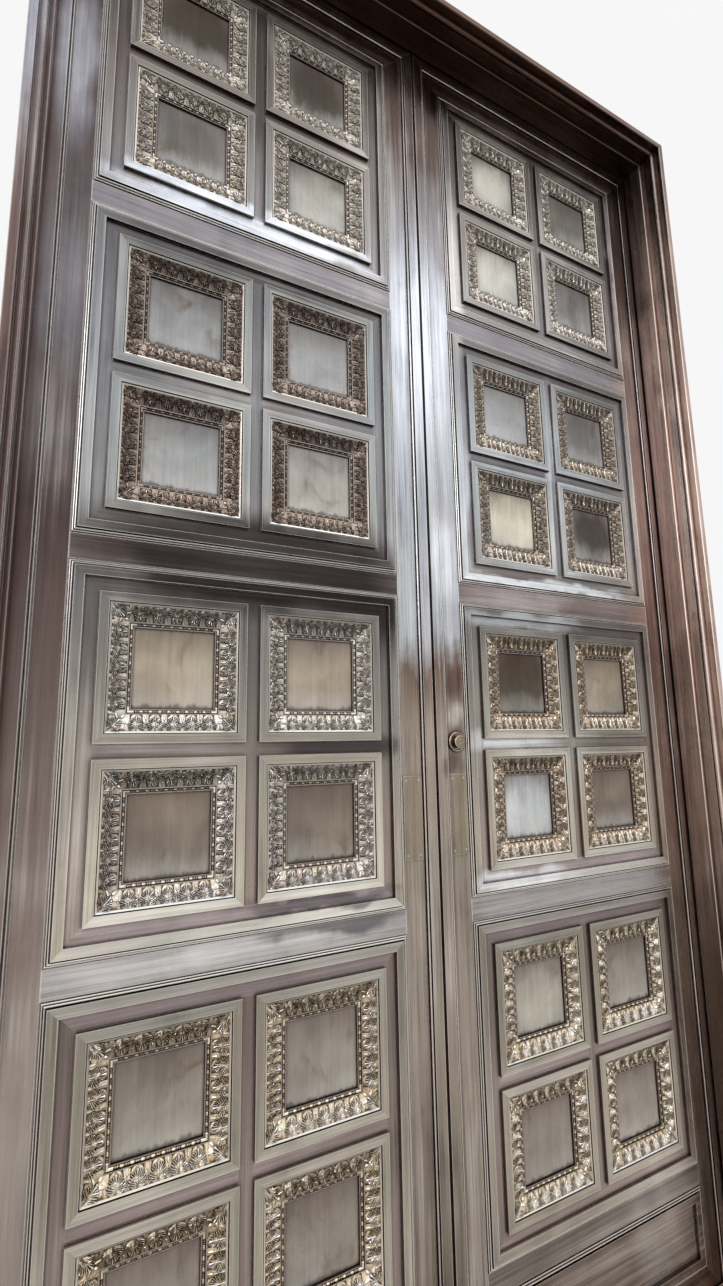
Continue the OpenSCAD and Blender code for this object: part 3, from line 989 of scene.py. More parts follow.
    def _close(self, mesh: bpy.types.Mesh) -> None:
        """Turns the ring-shaped sheet into a closed shell that lies in the frame's own band.

        Args:
            mesh: the sheet, which is changed.
        """
        work = bmesh.new()
        work.from_mesh(mesh)
        rim = [edge for edge in work.edges if edge.is_boundary]
        grown = bmesh.ops.extrude_edge_only(work, edges=rim)["geom"]
        for vert in (part for part in grown if isinstance(part, bmesh.types.BMVert)):
            vert.co.y += self.shell
        back = [part for part in grown
                if isinstance(part, bmesh.types.BMEdge) and part.is_boundary]
        bmesh.ops.bridge_loops(work, edges=back)
        faced_out(work, mesh)

    def bead_profile(self) -> list[Point]:
        """Place along one side and radius of its beads and reels, from end to end.

        Returns:
            Pairs of place and radius.
        """
        half = self.leaf_pitch / 4
        outline: list[Point] = []
        count = int(self.bead_end // half)
        for step in range(-count, count + 1):
            middle = step * half
            if step % 2:
                outline += [(middle + self.bead_l / 2 * along,
                             self.core_r + (self.bead_r - self.core_r) * rise)
                            for along, rise in self.bead_outline]
                continue
            for centre in (middle - self.reel_at, middle + self.reel_at):
                low, high = centre - self.reel_w / 2, centre + self.reel_w / 2
                outline += [(low, self.core_r), (low + self.reel_bevel, self.reel_r),
                            (high - self.reel_bevel, self.reel_r), (high, self.core_r)]
        end = self.bead_end + self.core_end
        return [(-end, self.core_r), *outline, (end, self.core_r)]

    def beads(self) -> Solids:
        """The four rows of beads and reels with the plain bars at the corners.

        Returns:
            Closed solids, in millimetres about the coffer's centre.
        """
        turns = (np.arange(self.bead_sides) + 0.5) * 2 * math.pi / self.bead_sides
        row = lofted([np.stack([np.full(self.bead_sides, along),
                                self.bead_y - radius * np.cos(turns),
                                self.bead_half + radius * np.sin(turns)], -1)
                      for along, radius in self.bead_profile()])
        return [turned(solid, 0.0, 0.0, quarter * math.pi / 2)
                for quarter in range(4) for solid in (row, self._corner_bar())]

    def _corner_bar(self) -> Solid:
        """The plain bar, an angle in plan, that fills the hollow at one corner.

        Returns:
            One closed solid.
        """
        low, high = self.bead_half - self.bar_half, self.bead_half + self.bar_half
        end = self.bead_end
        at_end, beside = self.bar_bevels
        foot, inner, outer = end + at_end, low + beside, high - beside
        plan = [(end, low), (end, high), (high, high), (high, end), (low, end), (low, low)]
        face = [(foot, inner), (foot, outer), (outer, outer), (outer, foot), (inner, foot),
                (inner, inner)]
        return prism(plan, face, self.bead_y + self.bar_sunk, self.bead_y - self.bar_shoulder,
                     self.bead_y - self.bar_front)

    def whole(self) -> Solid:
        """The whole carving of one coffer.

        Returns:
            Points, in metres about the coffer's centre, and faces.
        """
        beads = shape_of(joined("beads", self.beads()))
        points, faces = merged([shape_of(self.sheet()), beads])
        return points * MM, faces

    def share_of_relief(self, points: np.ndarray) -> np.ndarray:
        """How far points stand over the plain band or out of the hollow, from 0 to 1.

        Args:
            points: points in metres about the coffer's centre.

        Returns:
            The share at each point.
        """
        reach = np.maximum(np.abs(points[:, 0]), np.abs(points[:, 2])) / MM
        depth = points[:, 1] / MM
        out = np.clip(reach - self.band_in, 0.0, self.band_w)
        share = np.where(reach < self.band_in - self.sink,
                         (self.bead_y - depth) / self.bead_relief,
                         (self.band_y(out) - depth) / self.full_relief)
        return np.clip(share, 0.0, 1.0)


# ---- mesh helpers

def mesh_of(name: str, points: Sequence, faces: Sequence) -> bpy.types.Mesh:
    """Makes a mesh from points and faces.

    Args:
        name: name of the mesh.
        points: the points.
        faces: corners of each face.

    Returns:
        The mesh.
    """
    mesh = bpy.data.meshes.new(name)
    mesh.from_pydata(np.asarray(points, float).tolist(), [],
                     faces.tolist() if isinstance(faces, np.ndarray) else faces)
    mesh.update()
    return mesh


def weld(mesh: bpy.types.Mesh, distance: float) -> None:
    """Joins points of a mesh that lie together.

    Args:
        mesh: the mesh, which is changed.
        distance: how near the points lie.
    """
    work = bmesh.new()
    work.from_mesh(mesh)
    bmesh.ops.remove_doubles(work, verts=work.verts, dist=distance)
    work.to_mesh(mesh)
    work.free()


def thin(mesh: bpy.types.Mesh, share: float) -> bpy.types.Mesh:
    """Thins a mesh to a share of its faces, most of them where it bends.

    Args:
        mesh: the mesh, which is removed.
        share: share of the faces to keep.

    Returns:
        The thinned mesh.
    """
    carrier = bpy.data.objects.new("thinning", mesh)
    bpy.context.scene.collection.objects.link(carrier)
    step = carrier.modifiers.new("thin", "DECIMATE")
    step.ratio = share
    settled = carrier.evaluated_get(bpy.context.evaluated_depsgraph_get())
    thinned = bpy.data.meshes.new_from_object(settled)
    bpy.data.objects.remove(carrier)
    bpy.data.meshes.remove(mesh)
    return thinned


def shape_of(mesh: bpy.types.Mesh) -> Solid:
    """Points and faces of a mesh.

    Args:
        mesh: the mesh.

    Returns:
        Its points and the corners of its faces.
    """
    points = np.zeros(len(mesh.vertices) * 3)
    mesh.vertices.foreach_get("co", points)
    return points.reshape(-1, 3), [tuple(face.vertices) for face in mesh.polygons]


def lofted(rings: Sequence[np.ndarray]) -> Solid:
    """A closed solid through rings of as many points each, with flat ends.

    Args:
        rings: the rings, in order.

    Returns:
        Points and faces.
    """
    count, last = len(rings[0]), len(rings) - 1
    faces = [tuple(range(count)), tuple(range(last * count, (last + 1) * count))[::-1]]
    for start in range(0, last * count, count):
        for step in range(count):
            a, b = start + step, start + (step + 1) % count
            faces.append((b, a, a + count, b + count))
    return np.concatenate(rings), faces


def prism(outline: Sequence[Point], top: Sequence[Point], back: float, shoulder: float,
          front: float) -> Solid:
    """A closed solid over an outline in X and Z.

    Args:
        outline: points of the outline, in order.
        top: points of the bevelled top, one for each point of the outline.
        back: Y of the hidden end.
        shoulder: Y where the bevel starts.
        front: Y of the face.

    Returns:
        Points and faces.
    """
    return lofted([np.array([(x, y, z) for x, z in layer])
                   for layer, y in ((outline, back), (outline, shoulder), (top, front))])


def circle(radius: float, sides: int) -> list[Point]:
    """Points of a circle in X and Z."""
    steps = np.arange(sides) * 2 * math.pi / sides
    return [(radius * math.cos(step), radius * math.sin(step)) for step in steps]


def turned(solid: Solid, x: float, z: float, turn: float) -> Solid:
    """A solid turned about the Y axis and set at a place in X and Z.

    Args:
        solid: the solid.
        x: how far it is moved along X.
        z: how far it is moved up.
        turn: angle of the turn.

    Returns:
        Points and faces.
    """
    points, faces = solid
    placed = points @ np.array(Matrix.Rotation(turn, 3, "Y")).T
    return placed + np.array((x, 0.0, z)), faces


def merged(solids: Solids) -> Solid:
    """Several solids as one set of points and faces.

    Args:
        solids: the solids.

    Returns:
        Points and faces.
    """
    all_points, all_faces, shift = [], [], 0
    for points, faces in solids:
        all_points.append(points)
        all_faces += [tuple(corner + shift for corner in face) for face in faces]
        shift += len(points)
    return np.concatenate(all_points), all_faces


def faced_out(work: bmesh.types.BMesh, mesh: bpy.types.Mesh) -> None:
    """Writes a mesh back in triangles that face outwards.

    Args:
        work: the faces as they are being worked on.
        mesh: the mesh that they go into.
    """
    bmesh.ops.triangulate(work, faces=work.faces)
    bmesh.ops.recalc_face_normals(work, faces=work.faces)
    work.to_mesh(mesh)
    work.free()


def joined(name: str, solids: Solids) -> bpy.types.Mesh:
    """One mesh of several solids.

    Args:
        name: name of the mesh.
        solids: the solids, in place.

    Returns:
        The mesh, in triangles that face outwards.
    """
    mesh = mesh_of(name, *merged(solids))
    work = bmesh.new()
    work.from_mesh(mesh)
    faced_out(work, mesh)
    return mesh


def place_piece(name: str, mesh: bpy.types.Mesh, body: str,
                material: bpy.types.Material, sharp: float = 35.0) -> bpy.types.Object:
    """Puts a finished mesh into the scene as a piece of the doors.

    Args:
        name: name of the piece.
        mesh: its mesh, in place.
        body: the body that it rides on.
        material: its finish.
        sharp: angle in degrees above which an edge stays sharp.

    Returns:
        The new object.
    """
    mesh.name = name
    piece = bpy.data.objects.new(name, mesh)
    bpy.context.scene.collection.objects.link(piece)
    mesh.polygons.foreach_set("use_smooth", [True] * len(mesh.polygons))
    mesh.set_sharp_from_angle(angle=math.radians(sharp))
    mesh.materials.append(material)
    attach(piece, body)
    log.info("%s: %d faces on %s", name, len(mesh.polygons), body)
    return piece


# ---- the finishes of this pair of doors

# Tones from the floor up of each part: its tarnish and polish together with painted reflection,
# darker high up where a dark ceiling is mirrored, silver in the middle where bright sky is
# mirrored, warm low down where the floor is mirrored.
OUTER_STILE: Tones = (
    (0.3, tone(140, 128, 120)), (0.9, tone(174, 166, 158)), (1.4, tone(126, 112, 106)),
    (1.9, tone(84, 72, 68)), (2.6, tone(120, 112, 112)), (3.1, tone(70, 60, 57)))
MEETING_STILE: Tones = (
    (0.4, tone(138, 128, 116)), (0.9, tone(162, 152, 142)), (1.55, tone(166, 154, 140)),
    (1.71, tone(124, 106, 94)), (1.8, tone(186, 190, 194)), (2.75, tone(190, 193, 198)),
    (3.2, tone(94, 79, 72)))
CROSS_RAIL: Tones = (
    (0.4, tone(138, 128, 122)), (1.1, tone(182, 178, 178)), (1.9, tone(138, 124, 119)),
    (2.7, tone(150, 146, 150)))
FIELD: Tones = (
    (0.4, tone(168, 162, 152)), (1.3, tone(174, 166, 154)), (1.8, tone(140, 138, 136)),
    (2.5, tone(164, 170, 174)), (2.9, tone(140, 138, 138)), (3.3, tone(104, 95, 90)))
FIELD_LEVEL: Tones = (
    (0.5, tone(166, 158, 149)), (1.2, tone(182, 178, 174)), (1.5, tone(152, 144, 136)),
    (1.8, tone(132, 126, 122)), (2.4, tone(136, 138, 140)), (3.3, tone(128, 118, 112)))
PANELS: Tones = (
    (0.5, tone(170, 162, 152)), (1.15, tone(162, 155, 146)), (1.36, tone(134, 123, 114)),
    (1.65, tone(180, 166, 146)), (2.3, tone(172, 173, 172)), (3.2, tone(134, 129, 122)))
JAMB: Tones = (
    (0.4, tone(130, 116, 104)), (1.2, tone(124, 108, 98)), (1.9, tone(92, 76, 70)),
    (2.8, tone(122, 106, 102)), (3.4, tone(86, 66, 58)))
DARK_PATCH = Patch(-0.44, 1.93, 0.46, 0.13, tone(40, 35, 34), 0.92, 0.55)
DULL, SHADED, PALE = tone(72, 64, 54), tone(104, 96, 86), tone(226, 222, 208)


def panel_patch(side: Side, row: int, across: int, up: int, colour: Rgb,
                strength: float = 0.8, reach: float = 0.07) -> Patch:
    """A patch on one centre panel.

    Args:
        side: the leaf.
        row: 1 for the top field to 4 for the lowest.
        across: -1 for the left panel of the field, 1 for the right one.
        up: 1 for the upper panel, -1 for the lower one.
        colour: tone of the patch.
        strength: how much of it shows.
        reach: half its size.

    Returns:
        The patch.
    """
    return Patch(side.value * GRID.field_x + across * GRID.coffer_step,
                 GRID.field_zs[row - 1] + up * GRID.coffer_step, reach, reach, colour,
                 strength, 0.5)


# The near-white patches on the lower left panels of the right leaf are painted highlights.
PANEL_PATCHES = (
    panel_patch(Side.LEFT, 1, -1, 1, DULL, 0.95, 0.12),
    panel_patch(Side.LEFT, 1, 1, 1, DULL, 0.9, 0.11),
    panel_patch(Side.LEFT, 1, -1, -1, SHADED, 0.7, 0.08),
    panel_patch(Side.LEFT, 1, 1, -1, PALE, 0.35, 0.1),
    panel_patch(Side.RIGHT, 1, -1, 1, PALE, 0.6, 0.09),
    panel_patch(Side.RIGHT, 1, -1, -1, PALE, 0.55, 0.11),
    panel_patch(Side.RIGHT, 1, 1, 1, SHADED, 0.5, 0.1),
    panel_patch(Side.RIGHT, 2, -1, -1, tone(250, 240, 214), 0.85, 0.12),
    panel_patch(Side.RIGHT, 2, 1, 1, SHADED, 0.55, 0.1),
    panel_patch(Side.RIGHT, 2, 1, -1, DULL, 0.9, 0.11),
    panel_patch(Side.RIGHT, 3, -1, 1, DULL, 0.85, 0.14),
    panel_patch(Side.RIGHT, 3, -1, -1, tone(232, 236, 238), 0.85, 0.12),
    panel_patch(Side.RIGHT, 4, -1, 1, PALE, 0.55, 0.11),
)


@dataclass(frozen=True)
class DoorFinishes:
    """All finishes of the pair of doors."""

    stile: BronzeFinish = BronzeFinish(
        "outer_stile_finish", OUTER_STILE, haze_share=0.3, streaks=0.8,
        patches=(Patch(-0.88, 3.02, 0.06, 0.24, tone(196, 197, 204), 0.6),
                 Patch(-0.87, 2.45, 0.06, 0.22, tone(140, 137, 140), 0.6)))
    meeting: BronzeFinish = BronzeFinish(
        "meeting_stile_finish", MEETING_STILE, tarnish_share=0.4, tint_share=0.1,
        roughness=0.26, streaks=1.3,
        # The two large pale patches are painted highlights where the meeting stiles mirror bright
        # light.
        patches=(Patch(0.0, 2.6, 0.12, 0.34, tone(236, 240, 248), 0.6),
                 Patch(0.05, 2.0, 0.07, 0.16, tone(228, 230, 234), 0.6),
                 Patch(0.067, 1.68, 0.035, 0.06, tone(96, 76, 66), 0.8),
                 Patch(0.067, 1.595, 0.032, 0.035, tone(208, 202, 192), 0.85),
                 Patch(0.067, 1.53, 0.036, 0.036, tone(104, 76, 62), 0.7),
                 Patch(0.058, 1.478, 0.045, 0.03, tone(78, 60, 52), 0.65)))
    rail: BronzeFinish = BronzeFinish(
        "end_rail_finish", ((0.1, tone(128, 112, 100)), (3.4, tone(110, 92, 84))), Grain.LEVEL)
    cross: BronzeFinish = BronzeFinish(
        "cross_rail_finish", CROSS_RAIL, Grain.LEVEL, roughness=0.3,
        # The pale patch on the lowest cross rail, at 1.126 m, is a painted highlight.
        patches=(DARK_PATCH, Patch(-0.5, 1.126, 0.42, 0.06, tone(214, 214, 214), 0.6),
                 Patch(0.3, 1.92, 0.22, 0.05, tone(196, 184, 184), 0.6),
                 Patch(-0.27, 1.15, 0.2, 0.03, tone(84, 80, 86), 0.75, 0.5)))
    field: FieldFinish = FieldFinish(
        "field_finish", FIELD, Grain.AROUND, FIELD_LEVEL, panels=PANELS, tarnish_share=0.45,
        panel_patches=PANEL_PATCHES,
        # The near-white upright strips on the right leaf, about 0.12, 0.46 and 0.83 m out, are
        # painted highlights along its bands and bars.
        patches=(DARK_PATCH, Patch(-0.16, 1.86, 0.14, 0.14, tone(50, 45, 45), 0.9),
                 Patch(-0.26, 1.525, 0.2, 0.045, tone(58, 54, 56), 0.9, 0.5),
                 Patch(-0.84, 1.4, 0.07, 0.4, tone(192, 184, 172), 0.7),
                 Patch(-0.3, 1.2, 0.22, 0.02, tone(88, 84, 88), 0.75, 0.5),
                 Patch(-0.5, 3.2, 0.34, 0.2, tone(74, 66, 62), 0.6, 0.6),
                 Patch(0.12, 2.85, 0.04, 0.36, tone(222, 216, 212), 0.65),
                 Patch(0.83, 3.1, 0.03, 0.34, tone(232, 228, 228), 0.8),
                 Patch(0.46, 2.42, 0.03, 0.24, tone(226, 228, 228), 0.7),
                 Patch(0.3, 1.62, 0.24, 0.3, tone(206, 200, 186), 0.5),
                 Patch(0.4, 1.968, 0.36, 0.022, tone(224, 228, 230), 0.75, 0.5),
                 Patch(0.3, 1.855, 0.24, 0.03, tone(222, 226, 228), 0.7, 0.5),
                 Patch(0.24, 1.5225, 0.2, 0.03, tone(224, 224, 226), 0.85, 0.5),
                 Patch(0.24, 1.18, 0.22, 0.03, tone(222, 222, 226), 0.8, 0.5),
                 Patch(0.12, 2.2, 0.04, 0.36, tone(214, 218, 222), 0.65),
                 Patch(-0.5, 2.77, 0.4, 0.04, tone(226, 230, 238), 0.75, 0.4)))
    moulding: CofferFinish = CofferFinish(
        "coffer_frame_finish", FIELD, Grain.AROUND, FIELD_LEVEL,
        (DARK_PATCH, Patch(-0.5, 2.81, 0.4, 0.03, tone(226, 230, 238), 0.75, 0.4),
         Patch(0.3, 1.62, 0.24, 0.3, tone(214, 208, 194), 0.6),
         Patch(0.4, 2.3, 0.34, 0.38, tone(212, 216, 218), 0.55)),
        tarnish_share=0.4, wear_and_glint=0.6,
        # The dark rings in the bead hollow and in the outer quirk are patina deepened with painted
        # shade.
        rings=((0.0810, tone(88, 74, 62)), (0.0830, tone(104, 88, 72)),
               (0.0835, tone(56, 43, 34)), (0.0895, tone(56, 43, 34)),
               (0.0900, tone(136, 120, 100)), (0.0920, tone(116, 100, 82)),
               (0.0925, tone(88, 72, 56)), (0.1240, tone(104, 86, 68)),
               (0.1246, tone(206, 197, 182)), (0.1279, tone(206, 197, 182)),
               (0.1281, tone(52, 30, 24)), (0.1300, tone(52, 30, 24))))
    jamb: BronzeFinish = BronzeFinish(
        "jamb_finish", JAMB, tarnish_and_shade=tone(74, 52, 44), tarnish_share=0.65, streaks=1.3,
        patches=(Patch(0.95, 2.3, 0.14, 1.3, tone(214, 190, 178), 0.85, 0.6),
                 Patch(-0.955, 3.0, 0.03, 0.4, tone(180, 184, 196), 0.6)))
    head: BronzeFinish = BronzeFinish(
        "head_finish", ((3.4, tone(126, 100, 86)), (3.6, tone(108, 84, 72))), Grain.LEVEL,
        tarnish_and_shade=tone(70, 52, 44), haze_share=0.15, edge=tone(156, 132, 112), wear_and_glint=0.4)
    back: BronzeFinish = BronzeFinish(
        "back_finish", ((0.1, tone(124, 114, 104)), (3.5, tone(110, 100, 92))), roughness=0.42,
        haze_share=0.2, streaks=0.45)
    cover: BronzeFinish = BronzeFinish(
        "cover_plate_finish", ((1.2, tone(152, 142, 124)), (1.5, tone(158, 148, 130))),
        tarnish_share=0.25, haze_share=0.2)
    hinge: BronzeFinish = BronzeFinish(
        "hinge_finish", ((0.1, tone(108, 88, 74)), (3.5, tone(98, 80, 68))), roughness=0.38)
    lock: BronzeFinish = BronzeFinish(
        "lock_finish", ((1.4, tone(142, 120, 94)), (1.6, tone(150, 128, 102))),
        grime_and_shade_reach=0.006, line_reach=0.002, streaks=0.4)
    ornament: CarvedFinish = CarvedFinish(
        "carved_leaf_finish", high=tone(255, 250, 240), middle=tone(150, 130, 106),
        deep=tone(44, 31, 24),
        patches=(Patch(-0.465, 2.31, 0.46, 0.46, tone(166, 156, 154), 0.9, 0.8),
                 Patch(0.465, 2.31, 0.46, 0.46, tone(206, 200, 194), 0.8, 0.8),
                 Patch(-0.465, 1.52, 0.46, 0.46, tone(236, 238, 242), 0.9, 0.8),
                 Patch(0.465, 1.52, 0.46, 0.46, tone(212, 196, 176), 0.7, 0.8),
                 Patch(0.0, 0.73, 1.0, 0.46, tone(240, 230, 212), 0.8, 0.85)))


# ---- sub-assemblies

@dataclass(frozen=True)
class SlottedScrew:
    """A flat screw head with a slot, facing +Y."""

    head_r: float = 0.0045
    slot_w: float = 0.0012
    proud: float = 0.0006
    bevel: float = 0.0004
    sunk: float = 0.0015
    least_step: float = 0.0001
    sides: int = 16

    def solids(self, x: float, y: float, z: float, turn: float) -> Solids:
        """The head as a low disc with two raised halves beside the slot.

        Args:
            x: centre of the head.
            y: face that the head is let into.
            z: height of the centre.
            turn: angle of the slot, in radians.

        Returns:
            Closed solids as points and faces.
        """
        disc = circle(self.head_r, self.sides)
        parts = [prism(disc, disc, y - self.sunk, y, y + self.least_step)]
        spread = math.asin(self.slot_w / 2 / self.head_r)
        arc = np.linspace(spread, math.pi - spread, self.sides // 2)
        shrink = 1 - self.bevel / self.head_r
        beside_slot = self.slot_w / 2 + self.least_step
        for side in (1, -1):
            half = [(self.head_r * math.cos(a), side * self.head_r * math.sin(a)) for a in arc]
            inner = [(px * shrink, side * max(abs(pz) * shrink, beside_slot)) for px, pz in half]
            parts.append(prism(half[::side], inner[::side], y - self.sunk,
                               y + self.proud - self.bevel, y + self.proud))
        return [turned(part, x, z, turn) for part in parts]


@dataclass(frozen=True)
class FlushPlug:
    """A small round plug that stands a little over the face, facing -Y."""

    radius: float = 0.0024
    proud: float = 0.0003
    sunk: float = 0.0008
    face_share: float = 0.86
    sides: int = 14

    def solids(self, x: float, y: float, z: float) -> Solids:
        """The plug as one closed solid with a small bevel.

        Args:
            x: centre of the plug.
            y: face that it is let into.
            z: height of the centre.

        Returns:
            Closed solids as points and faces.
        """
        outer = circle(self.radius, self.sides)
        inner = circle(self.radius * self.face_share, self.sides)
        return [turned(prism(outer, inner, y + self.sunk, y, y - self.proud), x, z, 0.0)]


@dataclass(frozen=True)
class HingePlates:
    """Where the hinges' plates stand, and their screws in columns of three."""

    zs: tuple[float, ...] = (0.260, 1.287, 2.314, 3.341)
    y: float = 0.067
    screw_step: float = 0.058

    def heads(self, screw: SlottedScrew, xs: Sequence[float], step_turn: float,
              height_turn: float, column_turn: float = 0.0) -> Solids:
        """Screw heads on the plates of one side, each slot at its own angle.

        Args:
            screw: the screw.
            xs: places of the columns.
            step_turn: angle that each step up in a column adds to the slots.
            height_turn: angle that each metre of the hinge's height adds.
            column_turn: angle that each column adds.

        Returns:
            Closed solids as points and faces.
        """
        heads: Solids = []
        for z in self.zs:
            for column, x in enumerate(xs):
                for step in (-1.0, 0.0, 1.0):
                    turn = column_turn * column + step_turn * step + height_turn * z
                    heads += screw.solids(x, self.y, z + step * self.screw_step, turn)
        return heads


@dataclass
class DoorLeaf:
    """One leaf: its finishes, its carvings, its screws and the plugs of its cover plate."""

    side: Side
    finishes: Mapping[str, bpy.types.Material]
    carving: CofferCarving = field(default_factory=CofferCarving)
    screw: SlottedScrew = field(default_factory=SlottedScrew)
    plug: FlushPlug = field(default_factory=FlushPlug)
    sheet_y: float = 0.056
    sheet_inset: float = 0.014
    screws_a_side: int = 5
    kick_z: float = 0.2085
    kick_half: float = 0.0985
    hinges: HingePlates = field(default_factory=HingePlates)
    hinge_screw_xs: tuple[float, ...] = (0.894, 0.914)
    plate_x: float = 0.067
    plate_z: float = 1.3545
    plate_y: float = 0.006
    plug_spread: Point = (0.017, 0.086)

    STYLE = {"hinge_stile": "stile", "meeting_stile": "meeting", "top_rail": "rail",
             "bottom_rail": "rail", "cross_rails": "cross", "kick_panel": "rail",
             "back_sheets": "back", "leaf_hinges": "hinge", "cover_plate": "cover"}

    def dress(self) -> None:
        """Gives the leaf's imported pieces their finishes."""
        styles = dict(self.STYLE)
        for row in range(1, len(GRID.field_zs) + 1):
            styles[f"field_{row}"] = "field"
            styles[f"coffers_{row}"] = "moulding"
        for piece, style in styles.items():
            finish_node(self.side.named(piece), self.finishes[style])

    def carve(self, points: np.ndarray, faces: list[tuple[int, ...]]) -> None:
        """Sets one copy of the carving into each coffer, joined for each field.

        Args:
            points: the carving of one coffer, in metres about its centre.
            faces: its faces.
        """
        relief = self.carving.share_of_relief(points).astype(np.float32)
        for row in range(1, len(GRID.field_zs) + 1):
            centres = list(GRID.coffer_centres(self.side, row))
            copies = [(points + np.array((x, 0.0, z)), faces) for x, z in centres]
            mesh = mesh_of("carving", *merged(copies))
            mark = mesh.attributes.new("relief", "FLOAT", "POINT")
            mark.data.foreach_set("value", np.tile(relief, len(centres)))
            place_piece(self.side.named(f"carving_{row}"), mesh, self.side.body,
                        self.finishes["ornament"])

    def fasten(self) -> None:
        """Adds the screws of the back sheets and hinges, and the plugs of the cover plate."""
        self._place_solids("sheet_screws", self._sheet_screws(), "back")
        xs = [self.side.value * x for x in self.hinge_screw_xs]
        heads = self.hinges.heads(self.screw, xs, column_turn=1.1, step_turn=0.9, height_turn=1.0)
        self._place_solids("hinge_screws", heads, "hinge")
        spread_x, spread_z = self.plug_spread
        plugs: Solids = []
        for step_x in (-1, 1):
            for step_z in (-1, 1):
                plugs += self.plug.solids(self.side.value * self.plate_x + step_x * spread_x,
                                          self.plate_y, self.plate_z + step_z * spread_z)
        self._place_solids("plugs", plugs, "cover")

    def _sheet_screws(self) -> Solids:
        """Screws round every sheet that closes the back.

        Returns:
            Closed solids as points and faces.
        """
        heads: Solids = []
        reach = GRID.field_half - self.sheet_inset
        places = np.linspace(-reach, reach, self.screws_a_side)
        for middle in GRID.field_zs:
            spots = [(x, z) for x in places for z in places
                     if max(abs(x), abs(z)) > reach - GRID.play]
            heads += self._screws_at(spots, middle)
        low = self.kick_half - self.sheet_inset
        heads += self._screws_at([(x, z) for x in places for z in (-low, low)], self.kick_z)
        return heads

    def _screws_at(self, spots: Sequence[Point], middle: float) -> Solids:
        """Screws at places about the middle of a sheet, each slot at its own angle.

        Args:
            spots: places about the middle.
            middle: the middle of the sheet.

        Returns:
            Closed solids as points and faces.
        """
        heads: Solids = []
        for x, z in spots:
            heads += self.screw.solids(self.side.value * GRID.field_x + x, self.sheet_y,
                                       middle + z, 9.0 * x + 5.0 * (middle + z))
        return heads

    def _place_solids(self, piece: str, solids: Solids, style: str) -> None:
        """Joins small solids into one piece of the leaf."""
        place_piece(self.side.named(piece), joined(piece, solids), self.side.body,
                    self.finishes[style])


@dataclass
class DoorFrame:
    """The fixed frame: jambs, head, threshold and the fixed halves of the hinges."""

    finishes: Mapping[str, bpy.types.Material]
    screw: SlottedScrew = field(default_factory=lambda: SlottedScrew(head_r=0.0035))
    hinges: HingePlates = field(default_factory=HingePlates)
    screw_x: float = 0.959

    STYLE = {"left_jamb": "jamb", "right_jamb": "jamb", "head": "head", "threshold": "rail",
             "left_frame_hinges": "hinge", "right_frame_hinges": "hinge"}

    def dress(self) -> None:
        """Gives the frame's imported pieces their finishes."""
        for piece, style in self.STYLE.items():
            finish_node(piece, self.finishes[style])

    def fasten(self) -> None:
        """Adds the screws of the fixed hinge plates."""
        for side in Side:
            heads = self.hinges.heads(self.screw, [side.value * self.screw_x],
                                      step_turn=1.7, height_turn=2.0)
            name = side.named("frame_screws")
            place_piece(name, joined(name, heads), "frame",
                        self.finishes["hinge"])


def finish_node(name: str, material: bpy.types.Material) -> None:
    """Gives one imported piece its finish.

    Args:
        name: name of the piece.
        material: the finish.
    """
    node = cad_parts[name]
    if not node.material_slots:
        node.data.materials.append(material)
    for holder in node.material_slots:
        holder.material = material
    log.info("%s: %s", name, material.name)


# ---- studio and camera

@dataclass(frozen=True)
class SoftLight:
    """One large soft lamp."""

    name: str
    place: tuple[float, float, float]
    aim: tuple[float, float, float]
    wide: float
    high: float
    power: float
    colour: Rgb = (1.0, 1.0, 1.0)

    def build(self) -> None:
        """Adds the lamp."""
        lamp = bpy.data.lights.new(self.name, "AREA")
        lamp.shape = "RECTANGLE"
        lamp.size, lamp.size_y = self.wide, self.high
        lamp.energy = self.power
        lamp.color = self.colour
        holder = bpy.data.objects.new(self.name, lamp)
        bpy.context.scene.collection.objects.link(holder)
        holder.location = self.place
        towards = Vector(self.aim) - Vector(self.place)
        holder.rotation_euler = towards.to_track_quat("-Z", "Y").to_euler()


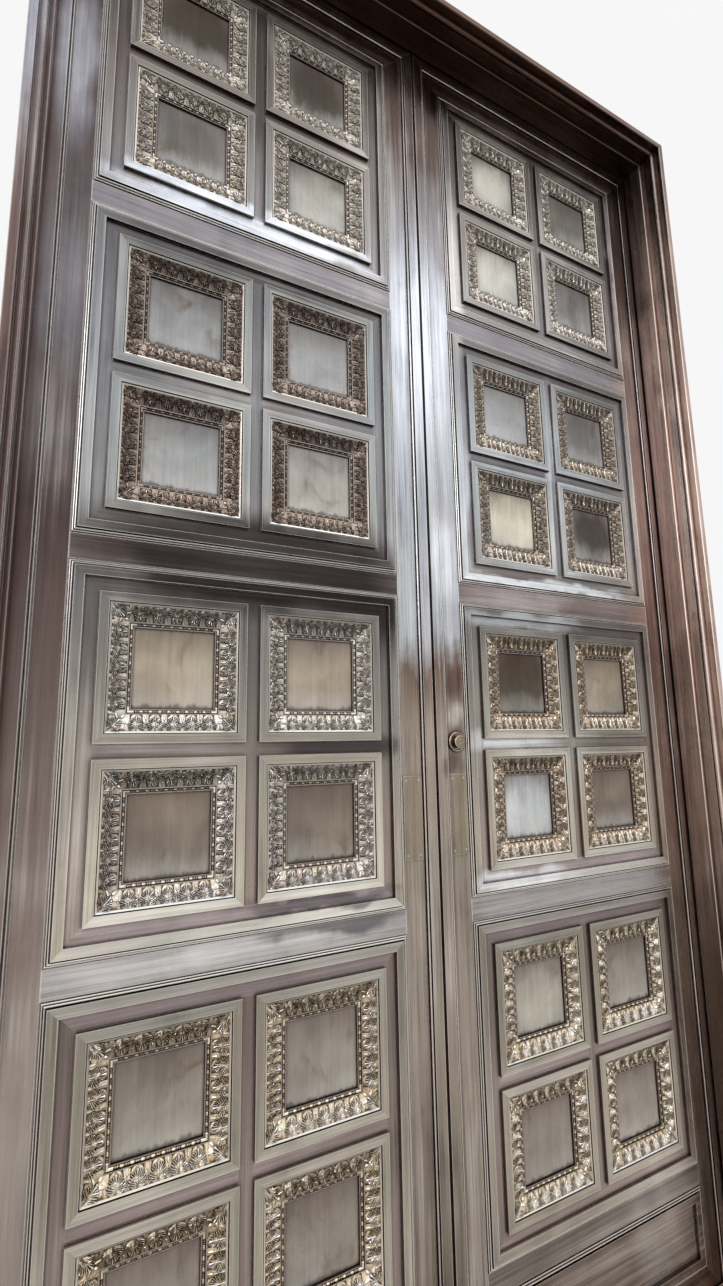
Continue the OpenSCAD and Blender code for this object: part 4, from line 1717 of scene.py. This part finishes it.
@dataclass(frozen=True)
class Studio:
    """Pale floor, soft surroundings and lamps."""

    floor_half: float = 7.0
    lamps: tuple[SoftLight, ...] = (
        SoftLight("key_light", (-3.2, -3.6, 4.2), (0.0, 0.0, 1.9), 2.8, 2.8, 80.0),
        SoftLight("stile_light", (1.9, -2.8, 5.2), (0.1, 0.0, 2.8), 2.0, 2.6, 8.0),
        SoftLight("back_light", (1.5, 4.0, 3.5), (0.0, 0.0, 1.8), 3.0, 3.0, 35.0),
    )

    def build(self) -> None:
        """Adds floor, surroundings and lamps."""
        self._floor()
        self._surroundings()
        for lamp in self.lamps:
            lamp.build()

    def _floor(self) -> None:
        """A plain pale floor under the threshold."""
        work = bmesh.new()
        bmesh.ops.create_grid(work, x_segments=2, y_segments=2, size=self.floor_half)
        mesh = bpy.data.meshes.new("floor")
        work.to_mesh(mesh)
        work.free()
        floor = bpy.data.objects.new("floor", mesh)
        bpy.context.scene.collection.objects.link(floor)
        graph = MetalGraph("floor_finish")
        mesh.materials.append(graph.surface(tone(224, 221, 216), 0.7, metallic=0.0))

    @staticmethod
    def _surroundings() -> None:
        """Soft light all round: pale behind the doors, brighter above, dimmer on the right."""
        world = bpy.data.worlds.new("studio")
        bpy.context.scene.world = world
        world.use_nodes = True
        graph = Graph(world.node_tree)
        toward = graph.node("ShaderNodeTexCoord")["Generated"]
        axes = graph.node("ShaderNodeSeparateXYZ", None, {"Vector": toward})
        high = graph.ramp(axes["Z"] * 0.5 + 0.5, (
            (0.0, (0.5, 0.48, 0.46)), (0.42, (0.95, 0.94, 0.92)), (0.66, (1.05, 1.06, 1.09)),
            (0.84, (0.82, 0.83, 0.86)), (0.93, (1.3, 1.3, 1.32)), (1.0, (1.5, 1.5, 1.52))))
        right = 1.0 - axes["X"].ease(0.4, 0.95) * 0.35
        front = graph.brighten(high, right)
        behind = axes["Y"].ease(0.0, 0.35)
        light = graph.mix(front, (0.93, 0.93, 0.93), behind)
        sky = graph.node("ShaderNodeBackground", None, {"Color": light})["Background"]
        graph.node("ShaderNodeOutputWorld", None, {"Surface": sky})


@dataclass(frozen=True)
class PhotoCamera:
    """The camera, where the photograph was taken from: close in front of the left leaf."""

    place: tuple[float, float, float] = (-0.8636, -1.2499, 1.5317)
    turn: float = 27.885
    tilt: float = 9.336
    roll: float = -0.936
    lens: float = 16.964
    sensor: float = 36.0

    def build(self) -> None:
        """Adds the camera and makes it the scene's own."""
        camera = bpy.data.cameras.new("photo_camera")
        camera.lens = self.lens
        camera.sensor_width = self.sensor
        camera.clip_start = 0.05
        holder = bpy.data.objects.new("photo_camera", camera)
        bpy.context.scene.collection.objects.link(holder)
        holder.matrix_world = (
            Matrix.Translation(self.place)
            @ Matrix.Rotation(math.radians(-self.turn), 4, "Z")
            @ Matrix.Rotation(math.radians(90 + self.tilt), 4, "X")
            @ Matrix.Rotation(math.radians(self.roll), 4, "Z"))
        bpy.context.scene.camera = holder


def main() -> None:
    """Builds every piece, the studio and the camera."""
    logging.basicConfig(level=logging.INFO, format="%(name)s: %(message)s")
    finishes = DoorFinishes()
    made = {name: getattr(finishes, name).material() for name in finishes.__dataclass_fields__}
    door_frame = DoorFrame(made)
    door_frame.dress()
    door_frame.fasten()
    carving = CofferCarving()
    points, faces = carving.whole()
    for side in Side:
        leaf = DoorLeaf(side, made, carving)
        leaf.dress()
        leaf.carve(points, faces)
        leaf.fasten()
    finish_node("lock", made["lock"])
    Studio().build()
    PhotoCamera().build()
    bpy.context.scene.view_settings.view_transform = "Standard"


if __name__ == "__main__":
    main()
